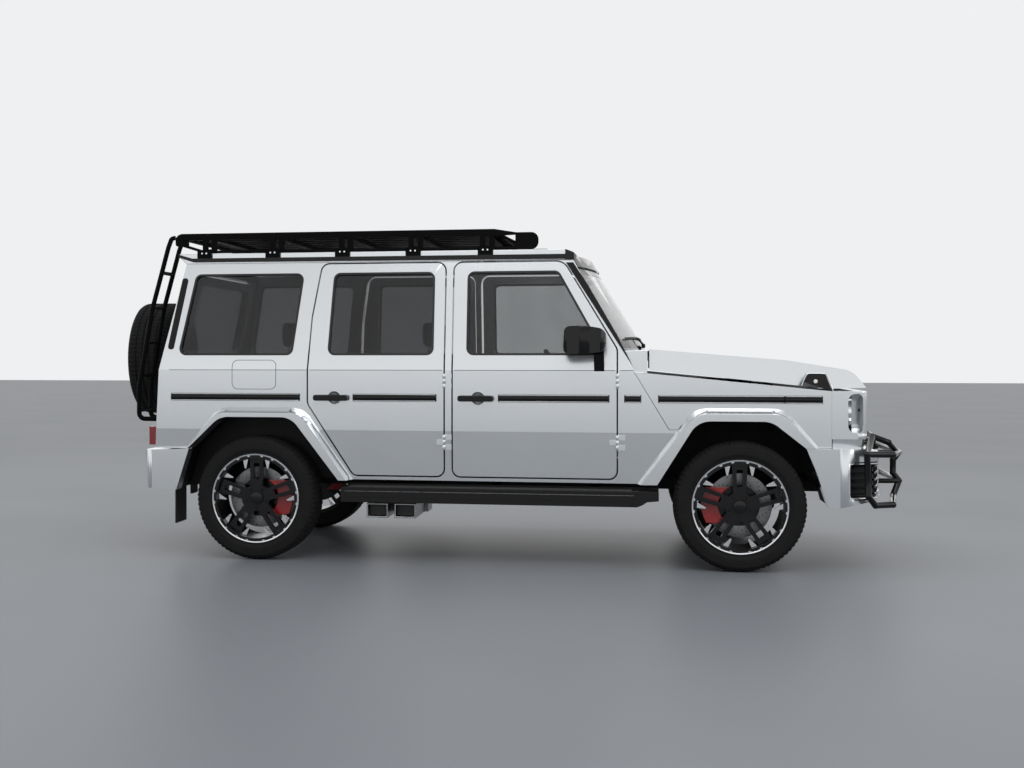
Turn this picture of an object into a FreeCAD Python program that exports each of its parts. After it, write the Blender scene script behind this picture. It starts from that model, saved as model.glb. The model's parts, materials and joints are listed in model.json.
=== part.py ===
import FreeCAD, Part
import Sketcher
import math
import os
import re

# Lifted off-road 4x4 station wagon, built panel by panel.
# Lengths are millimetres. X points forward, Y to the left, Z up from the ground.
# Every X size is measured from the middle of the wheelbase. The frame's origin lies under
# the middle of the whole length, so the sketches and primitives are moved by MIDDLE.

V = FreeCAD.Vector
doc = FreeCAD.newDocument("offroad_4x4")
sheet = doc.addObject("Spreadsheet::Sheet", "dims")
nodes = {}


# Driving dimensions

SIZES = {
    # Whole vehicle
    "front_reach": 2432,  # middle of the wheelbase to the tip of the bull bar
    "rear_reach": 2612,  # to the back of the handle on the spare wheel
    "wheelbase": 2890,
    "track": 1635,  # between the tyres' middles
    "slit": 0.3,  # clearance between pieces that seat in each other
    # Tyre and rim
    "tyre_r": 378,
    "tyre_half_w": 137.5,
    "bead_r": 254.3,  # bead seat of a 20 inch rim
    "bead_half_w": 121,
    "flange_r": 272,
    "flange_t": 8,
    "bulge_r": 315,  # widest place of the side wall
    "shoulder_r": 362,
    "shoulder_half_w": 124,
    "tread_half_w": 98,
    "barrel_t": 9,
    "hub_r": 82,
    "spoke_face_y": 96,  # outer face of the spokes from the wheel's middle
    "spoke_t": 34,
    "spoke_root_w": 72,
    "spoke_tip_w": 88,
    "slot_w": 32,  # the opening along the middle of each spoke
    "slot_low_r": 112,
    "slot_top_r": 214,
    "spoke_count": 5,
    "disc_r": 188,
    "disc_t": 30,
    "disc_y": 12,  # outer face of the brake disc from the wheel's middle
    # Body shell section
    "body_half": 885,  # outer skin below the waist crease
    "crease_z": 1165,
    "gutter_half": 785,  # outer skin at the gutter
    "gutter_z": 1830,
    "low_crease_z": 798,
    "tuck": 14,  # how far the skin falls in below the lower crease
    "shell_low": 498,
    "wall": 70,  # a whole door or side wall
    # Body side outline
    "rear_low_x": -2109,
    "rear_low_z": 677,
    "rear_waist_x": -2086,
    "rear_top_x": -1936,
    "pillar_top_x": 482,
    "pillar_foot_x": 839,
    "pillar_foot_z": 1183,
    "wing_line_low_x": 1044,
    "wing_line_low_z": 817,
    "sill_front_x": 975,
    # Wheel arches
    "arch_f_low_x": 933,
    "arch_f_low_z": 431,
    "arch_f_back_x": 1207,
    "arch_f_top_z": 873,
    "arch_f_front_x": 1620,
    "arch_f_nose_x": 1850,
    "arch_f_nose_z": 690,
    "arch_f_end_x": 1934,
    "arch_f_end_z": 384,
    "arch_r_low_x": -919,
    "arch_r_low_z": 498,
    "arch_r_front_x": -1215,
    "arch_r_top_z": 878,
    "arch_r_back_x": -1665,
    "arch_r_tail_x": -1871,
    "arch_r_tail_z": 680,
    "arch_r_end_x": -1952,
    "arch_r_end_z": 422,
    "arch_bend_r": 130,
    "flare_out": 90,  # how far the flares stand out from the skin
    "flare_bend_r": 150,
    "flare_f_low_x": 855,
    "flare_f_low_z": 499,
    "flare_f_back_x": 1187,
    "flare_f_top_z": 951,
    "flare_f_front_x": 1700,
    "flare_f_nose_x": 1891,
    "flare_f_nose_z": 717,
    "flare_r_low_x": -848,
    "flare_r_front_x": -1150,
    "flare_r_top_z": 939,
    "flare_r_back_x": -1700,
    "flare_r_tail_x": -1905,
    "flare_r_tail_z": 680,
    "flare_inside": 150,
    "flare_slope": 34,  # how far the top face falls between skin and lip
    # Arch liners and flaps
    "liner_off": 10,
    "liner_t": 6,
    "liner_f_in_y": 480,
    "flap_x": -1985,
    "flap_t": 10,
    "flap_out_y": 836,
    "flap_in_y": 640,
    "flap_low_z": 202,
    "flap_top_z": 640,
    # Doors
    "door_gap": 9,
    "door_skin_t": 24,  # the outer step of a door; the inner step is smaller all round
    "door_step": 20,
    "door_low_z": 526,
    "door_top_z": 1818,
    "door_low_r": 45,  # corners of the doors' outlines
    "door_top_r": 50,
    "fdoor_back_x": -232,
    "fdoor_top_x": 424,
    "fdoor_front_x": 741,
    "fdoor_elbow_z": 1290,
    "fdoor_top_r": 80,
    "rdoor_front_x": -289,
    "rdoor_top_x": -1053,
    "rdoor_shoulder_x": -1107,
    "rdoor_shoulder_z": 1490,
    "rdoor_back_x": -1127,
    "rdoor_elbow_z": 961,
    "rdoor_foot_x": -843,
    "rdoor_top_r": 50,
    "hinge_r": 9,
    "hinge_h": 90,
    "hinge_leaf": 46,
    "hinge_leaf_t": 6,
    "fhinge_low_z": 694,
    "fhinge_top_z": 1058,
    "rhinge_low_z": 686,
    "rhinge_top_z": 1054,
    # Windows
    "sill_z": 1257,  # lower edge of the side windows
    "win_top_z": 1763,
    "win_r": 42,
    "fwin_back_x": -151,
    "fwin_top_x": 396,
    "fwin_low_x": 679,
    "rwin_front_x": -353,
    "rwin_top_x": -980,
    "rwin_low_x": -1008,
    "qwin_top_front_x": -1170,
    "qwin_low_front_x": -1232,
    "qwin_low_back_x": -1965,
    "qwin_top_back_x": -1868,
    "glass_t": 6,
    "glass_in": 14,  # outer face of the glass behind the skin
    # Roof
    "roof_edge_z": 1894,
    "roof_top_z": 1944,
    "roof_t": 42,
    "roof_tail_x": -1988,
    "roof_tail_z": 1877,
    "roof_line_x": 436,  # where the paint ends and the black lip starts
    "roof_brow_x": 536,
    "roof_brow_z": 1857,
    "roof_lip_x": 633,
    "roof_fall_x": 250,
    "roof_bow": 112,  # how far the front edge bows out in plan
    "roof_bow_r": 2600,
    "header_out": 12,
    "header_back": 46,
    "gutter_h": 34,
    "gutter_out": 18,
    # Windscreen
    "screen_base_x": 912,  # glass at its foot, on the middle line
    "screen_base_z": 1285,
    "screen_side_x": 792,  # glass at its foot, beside the pillar
    "screen_half": 762,
    "screen_rake": 0.62,
    "screen_top_z": 1792,
    "screen_bow_r": 2400,
    "screen_t": 7,
    # Floor and bulkhead
    "floor_t": 30,
    "floor_front_x": 800,
    "floor_back_x": -2030,
    "floor_waist_x": -890,
    "floor_narrow_half": 633.7,
    "bulkhead_x": 800,
    "bulkhead_t": 30,
    "cowl_z": 1262,
    # Rear wall
    "rear_wall": 62,
    "gate_low_z": 700,
    "gate_top_z": 1772,
    "gate_half": 745,
    "gate_top_half": 668,
    "gate_gap": 12,
    "gate_r": 50,
    "gate_skin_t": 20,
    "gate_step": 16,
    "ghinge_low_z": 790,
    "ghinge_top_z": 1050,
    "gwin_low_z": 1268,
    "gwin_top_z": 1712,
    "gwin_half": 610,
    "gwin_top_half": 560,
    # Bonnet and wings
    "hood_half": 742,
    "hood_top_half": 700,
    "hood_back_x": 932,
    "hood_back_z": 1292,
    "hood_hinge_y": 560,
    "hood_hinge_w": 40,
    "hood_hinge_r": 8,
    "hood_low_back_z": 1166,
    "hood_low_front_z": 1060,
    "hood_mid_x": 1728,
    "hood_mid_z": 1226,
    "hood_brow_x": 2095,
    "hood_brow_z": 1166,
    "hood_nose_x": 2172,
    "hood_nose_z": 1066,
    "hood_t": 26,
    "hood_gap": 8,
    "wing_back_x": 842,
    "wing_back_z": 1155,
    "wing_top_front_z": 1048,
    "wing_front_x": 1961,
    "wing_in_half": 752,
    "wing_low_z": 700,
    "wing_low_x": 1845,
    # Nose
    "nose_front_x": 2160,
    "nose_low_z": 773,
    "nose_top_z": 1048,
    "nose_t": 60,
    "grille_half": 420,
    "grille_low_z": 800,
    "grille_top_z": 1030,
    "grille_depth": 34,
    "grille_frame": 16,
    "lamp_y": 655,
    "lamp_z": 921,
    "lamp_r": 112,
    "lamp_depth": 90,
    "lamp_front_x": 2118,
    "lamp_niche_x": 2051,  # back of the niche that opens to the front and to the side
    "niche_r": 42,
    "nose_corner_r": 55,
    "indicator_back_x": 1800,
    "indicator_front_x": 1968,
    "indicator_top_z": 1149,
    "indicator_in_y": 800,
    "indicator_out_y": 862,
    # Front bumper
    "fbump_half": 955,
    "fbump_top_z": 719,
    "fbump_front_x": 2272,
    "fbump_side_x": 2040,
    "fbump_corner_x": 2215,
    "fbump_corner_y": 850,
    "fbump_face_y": 600,
    "fbump_corner_r": 150,
    "fbump_inner_y": 705,
    "fbump_edge_r": 24,
    "duct_back_x": 2050,  # side intakes in the bumper's corners
    "duct_low_z": 425,
    "duct_top_z": 645,
    "duct_r": 45,
    "duct_depth": 70,
    "duct_post": 60,
    "fbump_low_z": 378,
    "fbump_low_front_z": 414,
    "fbump_shelf_x": 2165,
    "fbump_wall": 160,
    "fbump_step_z": 640,
    "intake_depth": 90,
    "intake_low_z": 440,
    "intake_top_z": 640,
    "intake_half": 470,
    # Bull bar
    "bar_r": 18,
    "bar_low_z": 400,
    "bar_tip_x": 2413,
    "bar_mid_z": 672,
    "bar_arm_z": 492,
    "loop_back_x": 2145,
    "loop_out_y": 946,
    "loop_top_z": 692,
    "loop_corner_x": 2302,
    "loop_corner_y": 850,
    "loop_in_y": 385,
    "loop_pinch": 34,
    "crown_x": 2222,
    "crown_out_y": 640,
    "crown_in_y": 520,
    "crown_low_z": 778,
    "crown_z": 794,
    "brow_x": 2312,
    "brace_y": 520,
    # Rear bumper
    "rbump_half": 948,
    "rbump_back_x": -2194,
    "rbump_top_z": 668,
    "rbump_low_z": 432,
    "rbump_in_x": -2080,
    "tail_lamp_low_z": 696,
    "tail_lamp_top_z": 809,
    "tail_lamp_x": -2150,
    "tail_lamp_in_y": 790,
    "tail_lamp_out_y": 878,
    # Running boards and exhaust
    "step_back_x": -905,
    "step_front_x": 862,
    "step_top_z": 459,
    "step_low_z": 368,
    "step_in_y": 800,
    "step_out_y": 965,
    "step_arm_x": 600,
    "pipe_x": -600,
    "pipe_pitch": 170,
    "pipe_low_z": 275,
    "pipe_h": 86,
    "pipe_w": 130,
    "pipe_out_y": 938,
    "pipe_in_y": 500,
    "tip_wall": 6,
    "tip_deep": 140,
    # Mirrors
    "mirror_x": 560,
    "mirror_z": 1344,
    "mirror_w": 250,
    "mirror_h": 168,
    "mirror_in_y": 915,
    "mirror_depth": 150,
    "mirror_foot_x": 640,
    "mirror_foot_z": 1200,
    # Roof rack
    "rack_y": 680,
    "rack_tube": 28,
    "rack_low_z": 1904,
    "rack_plate_t": 6,  # half the end plates' thickness
    "rack_beam_w": 26,
    "rack_beam_h": 42,
    "rack_rail_r": 9,
    "rack_cheek": 88,
    "rack_plate_x": 127,
    "rack_nose_z": 2008,
    "rack_tail_z": 1950,
    "rack_gap_w": 24,
    "rack_foot_t": 10,
    "rack_top_z": 2030,
    "rack_deck_z": 2026,
    "rack_front_x": 268,
    "rack_back_x": -2044,
    "rack_post_w": 92,
    "rack_post_t": 22,
    "rack_post_1": -1816,
    "rack_post_2": -1374,
    "rack_post_3": -931,
    "rack_post_4": -489,
    "rack_post_5": -45,
    "rack_slat_w": 96,
    "rack_slat_t": 18,
    "rack_planks": 9,
    # Ladder and spare wheel
    "ladder_y_out": 620,
    "ladder_y_in": 400,
    "ladder_r": 15,
    "ladder_low_z": 845,
    "ladder_x": -2312,
    "ladder_bend_z": 1050,
    "ladder_mid_x": -2220,
    "ladder_mid_z": 1563,
    "ladder_top_x": -2100,
    "ladder_top_z": 1950,
    "ladder_rung_1": 900,
    "ladder_pitch": 222,
    "ladder_rungs": 5,
    "spare_z": 1236,
    "spare_face_x": -2496,
    "spare_stalk_r": 60,
    "spare_foot_low_z": 1060,
    "spare_foot_half": 150,
    "handle_r": 20,
    "handle_half_h": 118,
    # Chassis
    "rail_y": 390,
    "rail_w": 80,
    "rail_low_z": 430,
    "rail_h": 62,
    "cross_1": -2020,
    "cross_2": -1010,
    "cross_3": -100,
    "cross_4": 760,
    "cross_5": 1990,
    "axle_tube_r": 48,
    "hitch_x": -2150,
    "hitch_t": 14,
    "hitch_h": 120,
    "hitch_half": 62,
    "hitch_drop": 12,
    "hitch_arm_h": 26,
    "cross_half": 35,
    "cross_inset": 4,
    "hitch_pitch_y": 83,
    "hitch_pitch_z": 56,
    "hitch_hole_r": 6.5,
    "hitch_edge": 15,  # from the plate's lower edge to the lower holes
    "diff_r": 114,
    "mount_r": 38,
    "kingpin_y": 735,
    "pin_r": 34,
    "pin_half": 130,
    "stub_r": 44,
    "arm_half_x": 70,
    "arm_low_z": 212,
    "spring_seat_y": 540,
    "spring_r": 56,
    "caliper_in_r": 118,
    "caliper_out_r": 214,
    "caliper_over": 20,  # how far the caliper reaches past the disc's faces
    "caliper_h": 210,
    # Engine
    "engine_x": 1330,
    "engine_len": 720,
    "engine_w": 560,
    "engine_low_z": 560,
    "engine_h": 520,
    # Inside
    "seat_z": 700,
    "seat_h": 130,
    "seat_w": 520,
    "seat_depth": 500,
    "seat_y": 370,
    "seat_front_x": 80,
    "seat_back_h": 640,
    "seat_back_t": 130,
    "seat_lean": 95,  # how far the top of a back lies behind its foot
    "shoulder_r_seat": 70,
    "rest_w": 250,
    "rest_h": 165,
    "rest_t": 95,
    "rest_gap": 26,
    "rest_rod_r": 7,
    "bench_rest_y": 400,
    "bench_x": -830,
    "bench_w": 1230,
    "dash_depth": 300,
    "dash_low_z": 900,
    "dash_top_z": 1190,
    "dash_half": 735,
    "dash_rise": 26,
    "console_half": 104,
    "console_back_x": -110,
    "console_z": 815,
    "wheel_rim_r": 185,
    "wheel_rim_t": 15,
    "wheel_x": 330,
    "wheel_z": 1120,
    "column_r": 28,
    "wheel_tilt": 62,
}
for row, (size_name, size) in enumerate(SIZES.items(), 1):
    sheet.set(f"A{row}", size_name)
    sheet.set(f"B{row}", str(size))
    sheet.setAlias(f"B{row}", size_name)
doc.recompute()

MIDDLE = "((rear_reach - front_reach) / 2)"


# Expressions

def full(text):
    """Puts the sheet's name before each size in an expression."""
    return re.sub(r"\b[a-z][a-z0-9_]*\b",
                  lambda word: "dims." + word.group(0) if word.group(0) in SIZES else word.group(0),
                  str(text))


def number(text):
    return float(sheet.evalExpression(full(text)))


def bind(obj, prop, text):
    obj.setExpression(prop, full(text))


def neg(text):
    return f"-({text})"


def place(obj, x=0, y=0, z=0):
    bind(obj, "Placement.Base.x", f"{MIDDLE} + ({x})")
    bind(obj, "Placement.Base.y", y)
    bind(obj, "Placement.Base.z", z)
    return obj


# Sketches

TURNS = {"side": FreeCAD.Rotation(V(1, 0, 0), 90),
         "front": FreeCAD.Rotation(V(1, 1, 1), 120),
         "top": FreeCAD.Rotation()}
NORMALS = {"side": V(0, 1, 0), "front": V(1, 0, 0), "top": V(0, 0, 1)}


def put_on_plane(obj, plane, at):
    """Sets a sketch at a distance along the plane's normal."""
    obj.Placement = FreeCAD.Placement(V(), TURNS[plane])
    if plane == "side":
        place(obj, 0, at, 0)
    elif plane == "front":
        place(obj, at, 0, 0)
    else:
        place(obj, 0, 0, at)


def draw(sketch, corners, closed=True):
    """Draws a chain of lines through the corners, each (across, up) or (across, up, radius)."""
    count = len(corners)
    spots = [V(number(c[0]), number(c[1]), 0) for c in corners]
    rounds = [number(c[2]) if len(c) > 2 else 0.0 for c in corners]
    runs = count if closed else count - 1
    entries = []
    exits = []
    lefts = []
    for i in range(count):
        here = spots[i]
        if rounds[i]:
            din = (here - spots[i - 1]).normalize()
            dout = (spots[(i + 1) % count] - here).normalize()
            back = rounds[i] * math.tan(din.getAngle(dout) / 2)
            entries.append(here - din * back)
            exits.append(here + dout * back)
            lefts.append(din.x * dout.y - din.y * dout.x > 0)
        else:
            entries.append(here)
            exits.append(here)
            lefts.append(True)
    for i in range(runs):
        sketch.addGeometry(Part.LineSegment(exits[i], entries[(i + 1) % count]), False)
    bent = [i for i in range(count) if rounds[i]]
    arcs = {}
    for i in bent:
        din = (spots[i] - spots[i - 1]).normalize()
        side = 1 if lefts[i] else -1
        centre = entries[i] + V(-din.y, din.x, 0) * (rounds[i] * side)
        first, last = (entries[i], exits[i]) if lefts[i] else (exits[i], entries[i])
        circle = Part.Circle(centre, V(0, 0, 1), rounds[i])
        begin = math.atan2(first.y - centre.y, first.x - centre.x)
        end = math.atan2(last.y - centre.y, last.x - centre.x)
        arcs[i] = sketch.addGeometry(Part.ArcOfCircle(circle, begin, end), False)
    tie = Sketcher.Constraint
    for i in range(count):
        before = (i - 1) % count
        if i in arcs:
            mark = sketch.addGeometry(Part.Point(spots[i]), True)
            enter, leave = (1, 2) if lefts[i] else (2, 1)
            sketch.addConstraint([tie("Tangent", before, 2, arcs[i], enter),
                                  tie("Tangent", arcs[i], leave, i, 1),
                                  tie("PointOnObject", mark, 1, before),
                                  tie("PointOnObject", mark, 1, i)])
            spot = sketch.addConstraint(tie("Radius", arcs[i], rounds[i]))
            bind(sketch, f"Constraints[{spot}]", corners[i][2])
            geo, end = mark, 1
        else:
            if closed or 0 < i < count - 1:
                sketch.addConstraint(tie("Coincident", before, 2, i, 1))
            geo, end = (i, 1) if i < runs else (before, 2)
        for way, text, at in (("DistanceX", corners[i][0], spots[i].x),
                              ("DistanceY", corners[i][1], spots[i].y)):
            spot = sketch.addConstraint(tie(way, -1, 1, geo, end, at))
            bind(sketch, f"Constraints[{spot}]", text)
    return sketch


def outline(name, plane, at, corners, closed=True):
    sketch = doc.addObject("Sketcher::SketchObject", name)
    put_on_plane(sketch, plane, at)
    return draw(sketch, corners, closed)


# Solids

def extrude(name, profile, plane, length):
    solid = doc.addObject("Part::Extrusion", name)
    solid.Base = profile
    solid.DirMode = "Custom"
    solid.Dir = NORMALS[plane]
    solid.Solid = True
    bind(solid, "LengthFwd", length)
    return solid


def prism(name, plane, corners, start, end):
    """Extrudes an outline along the plane's normal, from start to end."""
    return extrude(name, outline(name + "_outline", plane, start, corners), plane, f"({end}) - ({start})")


def grown(name, sketch, by):
    """An outline moved outwards, or inwards by a negative size."""
    bigger = doc.addObject("Part::Offset2D", name)
    bigger.Source = sketch
    bigger.Join = "Intersection"
    bigger.Fill = False
    bigger.Value = number(by)
    bind(bigger, "Value", by)
    return bigger


def box(name, x, y, z):
    """A block between two limits each way."""
    block = doc.addObject("Part::Box", name)
    place(block, x[0], y[0], z[0])
    for prop, limits in (("Length", x), ("Width", y), ("Height", z)):
        bind(block, prop, f"({limits[1]}) - ({limits[0]})")
    return block


AXES = {"x": FreeCAD.Rotation(V(0, 1, 0), 90),
        "y": FreeCAD.Rotation(V(1, 0, 0), -90),
        "z": FreeCAD.Rotation()}


def rod(name, axis, at, radius, length):
    """A cylinder from a point, along one axis."""
    bar = doc.addObject("Part::Cylinder", name)
    bar.Placement = FreeCAD.Placement(V(), AXES[axis])
    place(bar, *at)
    bind(bar, "Radius", radius)
    bind(bar, "Height", length)
    return bar


def pipe(name, plane, at, corners, radius, closed=False):
    """A round tube along a path, whose first run sets the way the section faces."""
    path = outline(name + "_path", plane, at, corners, closed)
    section = doc.addObject("Part::Circle", name + "_section")
    bind(section, "Radius", radius)
    (u0, v0), (u1, v1) = corners[0][:2], corners[1][:2]
    slope = f"atan2(({v1}) - ({v0}), ({u1}) - ({u0}))"
    if plane == "side":
        section.Placement = FreeCAD.Placement(V(), FreeCAD.Rotation(V(0, 1, 0), 10))
        place(section, u0, at, v0)
        bind(section, "Placement.Rotation.Angle", f"90 deg - {slope}")
    elif plane == "front":
        section.Placement = FreeCAD.Placement(V(), FreeCAD.Rotation(V(1, 0, 0), 10))
        place(section, at, u0, v0)
        bind(section, "Placement.Rotation.Angle", f"{slope} - 90 deg")
    else:
        section.Placement = FreeCAD.Placement(V(), AXES["x"])
        place(section, u0, v0, at)
    tube = doc.addObject("Part::Sweep", name)
    tube.Sections = [section]
    path.recompute()
    tube.Spine = (path, [f"Edge{i + 1}" for i in range(len(path.Shape.Edges))])
    tube.Solid = True
    tube.Frenet = False
    return tube


def strut(name, start, end, radius):
    """A straight tube between two points."""
    run = V(*(number(b) - number(a) for a, b in zip(start, end)))
    bar = doc.addObject("Part::Cylinder", name)
    bar.Placement = FreeCAD.Placement(V(), FreeCAD.Rotation(V(0, 0, 1), run))
    place(bar, *start)
    bind(bar, "Radius", radius)
    bind(bar, "Height", "sqrt(" + " + ".join(f"(({b}) - ({a})) ^ 2" for a, b in zip(start, end)) + ")")
    return bar


def ball(name, at, radius):
    knob = doc.addObject("Part::Sphere", name)
    place(knob, *at)
    bind(knob, "Radius", radius)
    return knob


def bent_tube(name, points, radius, closed=False):
    """Straight tubes through a list of points, with a ball at each bend."""
    count = len(points)
    pieces = [strut(f"{name}_{i}", points[i], points[(i + 1) % count], radius)
              for i in range(count if closed else count - 1)]
    bends = range(count) if closed else range(1, count - 1)
    return pieces + [ball(f"{name}_bend_{i}", points[i], f"{radius} + 1") for i in bends]


def fuse(name, *shapes):
    whole = doc.addObject("Part::MultiFuse", name)
    whole.Shapes = list(shapes)
    return whole


def chained(name, *shapes):
    """Fuses shapes one after another, which suits tubes that meet at one point."""
    whole = shapes[0]
    for i, shape in enumerate(shapes[1:]):
        step = doc.addObject("Part::Fuse", f"{name}_{i}")
        step.Base = whole
        step.Tool = shape
        step.Refine = False
        whole = step
    return whole


def together(name, *shapes):
    """Solids that stay apart in one sub-part."""
    group = doc.addObject("Part::Compound", name)
    group.Links = list(shapes)
    return group


def common(name, *shapes):
    part = doc.addObject("Part::MultiCommon", name)
    part.Shapes = list(shapes)
    return part


def cut(name, base, *tools):
    rest = doc.addObject("Part::Cut", name)
    rest.Base = base
    rest.Tool = tools[0] if len(tools) == 1 else fuse(name + "_tools", *tools)
    return rest


def mirrored(name, source):
    twin = doc.addObject("Part::Mirroring", name)
    twin.Source = source
    twin.Normal = V(0, 1, 0)
    twin.Base = V(0, 0, 0)
    return twin


def sub_part(label, obj):
    obj.Label = label
    nodes[label] = obj
    return obj


def both_sides(name, right):
    return together(name, right, mirrored(name + "_left", right))


# Body sides and doors

def side_slab(name, outer_in, inner_in, back="rear_low_x - 60", front="sill_front_x + 120"):
    """The bent side wall, between two depths behind the skin, with its lower part tucked in."""
    return prism(name, "front",
                 [(f"-body_half + {outer_in} + tuck * (1 - ({outer_in}) / wall)", "shell_low"),
                  (f"-body_half + {outer_in}", "low_crease_z"),
                  (f"-body_half + {outer_in}", "crease_z"),
                  (f"-gutter_half + {outer_in}", "gutter_z"),
                  (f"-gutter_half + {inner_in}", "gutter_z"),
                  (f"-body_half + {inner_in}", "crease_z"),
                  (f"-body_half + {inner_in}", "low_crease_z"),
                  (f"-body_half + {inner_in} + tuck * (1 - ({inner_in}) / wall)", "shell_low")], back, front)


def across_side(name, profile):
    """Extrudes a side outline through the right wall."""
    return extrude(name, profile, "side", "body_half - gutter_half + wall + 60")


WALL_START = "-body_half - 20"

BODY_SIDE = [("rear_low_x", "rear_low_z"), ("rear_waist_x", "crease_z"), ("rear_top_x", "gutter_z"),
             ("pillar_top_x", "gutter_z"), ("pillar_foot_x", "pillar_foot_z"),
             ("wing_back_x", "wing_back_z"), ("wing_line_low_x", "wing_line_low_z"),
             ("arch_f_back_x", "wing_line_low_z"), ("sill_front_x", "shell_low"),
             ("arch_r_low_x", "shell_low"), ("arch_r_tail_x", "rear_low_z")]
ARCH_FRONT = [("arch_f_low_x", "arch_f_low_z"), ("arch_f_back_x", "arch_f_top_z", "arch_bend_r"),
              ("arch_f_front_x", "arch_f_top_z", "arch_bend_r"), ("arch_f_nose_x", "arch_f_nose_z"),
              ("arch_f_end_x", "arch_f_end_z")]
ARCH_REAR = [("arch_r_low_x", "arch_r_low_z - 100"), ("arch_r_low_x", "arch_r_low_z"),
             ("arch_r_front_x", "arch_r_top_z", "arch_bend_r"),
             ("arch_r_back_x", "arch_r_top_z", "arch_bend_r"), ("arch_r_tail_x", "arch_r_tail_z"),
             ("arch_r_end_x", "arch_r_end_z")]
FRONT_DOOR = [("fdoor_back_x", "door_low_z", "door_low_r"), ("fdoor_back_x", "door_top_z", "door_top_r"),
              ("fdoor_top_x", "door_top_z", "fdoor_top_r"), ("fdoor_front_x", "fdoor_elbow_z", 60),
              ("fdoor_front_x", "door_low_z", "door_low_r")]
REAR_DOOR = [("rdoor_foot_x", "door_low_z", "door_low_r"), ("rdoor_back_x", "rdoor_elbow_z", 60),
             ("rdoor_back_x", "crease_z"), ("rdoor_shoulder_x", "rdoor_shoulder_z"),
             ("rdoor_top_x", "door_top_z", "rdoor_top_r"), ("rdoor_front_x", "door_top_z", "door_top_r"),
             ("rdoor_front_x", "door_low_z", "door_low_r")]
FRONT_WINDOW = [("fwin_back_x", "sill_z", "win_r"), ("fwin_back_x", "win_top_z", "win_r"),
                ("fwin_top_x", "win_top_z", "win_r"), ("fwin_low_x", "sill_z", "win_r / 2")]
REAR_WINDOW = [("rwin_low_x", "sill_z", "win_r"), ("rwin_top_x", "win_top_z", "win_r"),
               ("rwin_front_x", "win_top_z", "win_r"), ("rwin_front_x", "sill_z", "win_r")]
QUARTER_WINDOW = [("qwin_low_back_x", "sill_z", "win_r"), ("qwin_top_back_x", "win_top_z", "win_r"),
                  ("qwin_top_front_x", "win_top_z", "win_r"), ("qwin_low_front_x", "sill_z", "win_r")]

door_profiles = {"front": outline("front_door_outline", "side", WALL_START, FRONT_DOOR),
                 "rear": outline("rear_door_outline", "side", WALL_START, REAR_DOOR)}
window_profiles = {"front": outline("front_window_outline", "side", WALL_START, FRONT_WINDOW),
                   "rear": outline("rear_window_outline", "side", WALL_START, REAR_WINDOW),
                   "quarter": outline("quarter_window_outline", "side", WALL_START, QUARTER_WINDOW)}
apertures = {key: across_side(key + "_aperture", grown(key + "_aperture_outline", profile, "door_gap"))
             for key, profile in door_profiles.items()}
window_cuts = {key: across_side(key + "_window_cut", profile)
               for key, profile in window_profiles.items()}
arch_cuts = {"front": prism("front_arch_cut", "side", ARCH_FRONT, "-body_half - flare_out - 40",
                            "-kingpin_y + 300"),
             "rear": prism("rear_arch_cut", "side", ARCH_REAR, "-body_half - flare_out - 40",
                           "-body_half + wall + 20")}


def flare(name, low, back, top, front, end, arch):
    """A wheel arch flare: the top face slopes out from the skin to an upright lip."""
    way = 1 if number(front) > number(back) else -1
    inside = [(f"{end[0]} - {way} * flare_inside", end[1]), (f"{low[0]} + {way} * flare_inside", low[1])]
    skin = outline(name + "_skin", "side", "-body_half + tuck + 1",
                   [low, (back, top, "flare_bend_r"), (front, top, "flare_bend_r"), end] + inside)
    lip = outline(name + "_lip", "side", "-body_half - flare_out",
                  [(f"{low[0]} + {way} * flare_slope * 0.7", low[1]),
                   (f"{back} + {way} * flare_slope * 0.35", f"{top} - flare_slope",
                    "flare_bend_r - flare_slope / 2"),
                   (f"{front} - {way} * flare_slope * 0.35", f"{top} - flare_slope",
                    "flare_bend_r - flare_slope / 2"),
                   (f"{end[0]} - {way} * flare_slope * 0.7", end[1])] + inside)
    body = doc.addObject("Part::Loft", name + "_body")
    body.Sections = [skin, lip]
    body.Solid = True
    body.Ruled = True
    return cut(name, body, arch)


DOOR_HINGES = {"front": ("fdoor_front_x + door_gap / 2", ("fhinge_low_z", "fhinge_top_z")),
               "rear": ("rdoor_front_x + door_gap / 2", ("rhinge_low_z", "rhinge_top_z"))}


def side_hinges(key, x, levels):
    """Outside door hinges: two fixed knuckles and a moving one between them, each on its leaf."""
    fixed = []
    moving = []
    part = "hinge_h / 3"
    y = "-body_half - hinge_r - 1"
    for i, z in enumerate(levels):
        for j, group in ((0, fixed), (1, moving), (2, fixed)):
            name = f"{key}_hinge_{i}_{j}"
            low = f"{z} + {j} * ({part})" + (" + slit" if j == 1 else "")
            high = f"{part} - 2 * slit" if j == 1 else part
            knuckle = rod(name + "_knuckle", "z", (x, y, low), "hinge_r", high)
            far = f"{x} - hinge_leaf" if j == 1 else f"{x} + hinge_leaf"
            ends = (far, x) if j == 1 else (x, far)
            leaf = box(name + "_leaf", ends, ("-body_half - hinge_leaf_t", "-body_half + tuck + 2"),
                       (low, f"{low} + {high}"))
            group += [knuckle, leaf]
    return fuse(key + "_hinge_fixed", *fixed), fuse(key + "_hinge_moving", *moving)


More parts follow.
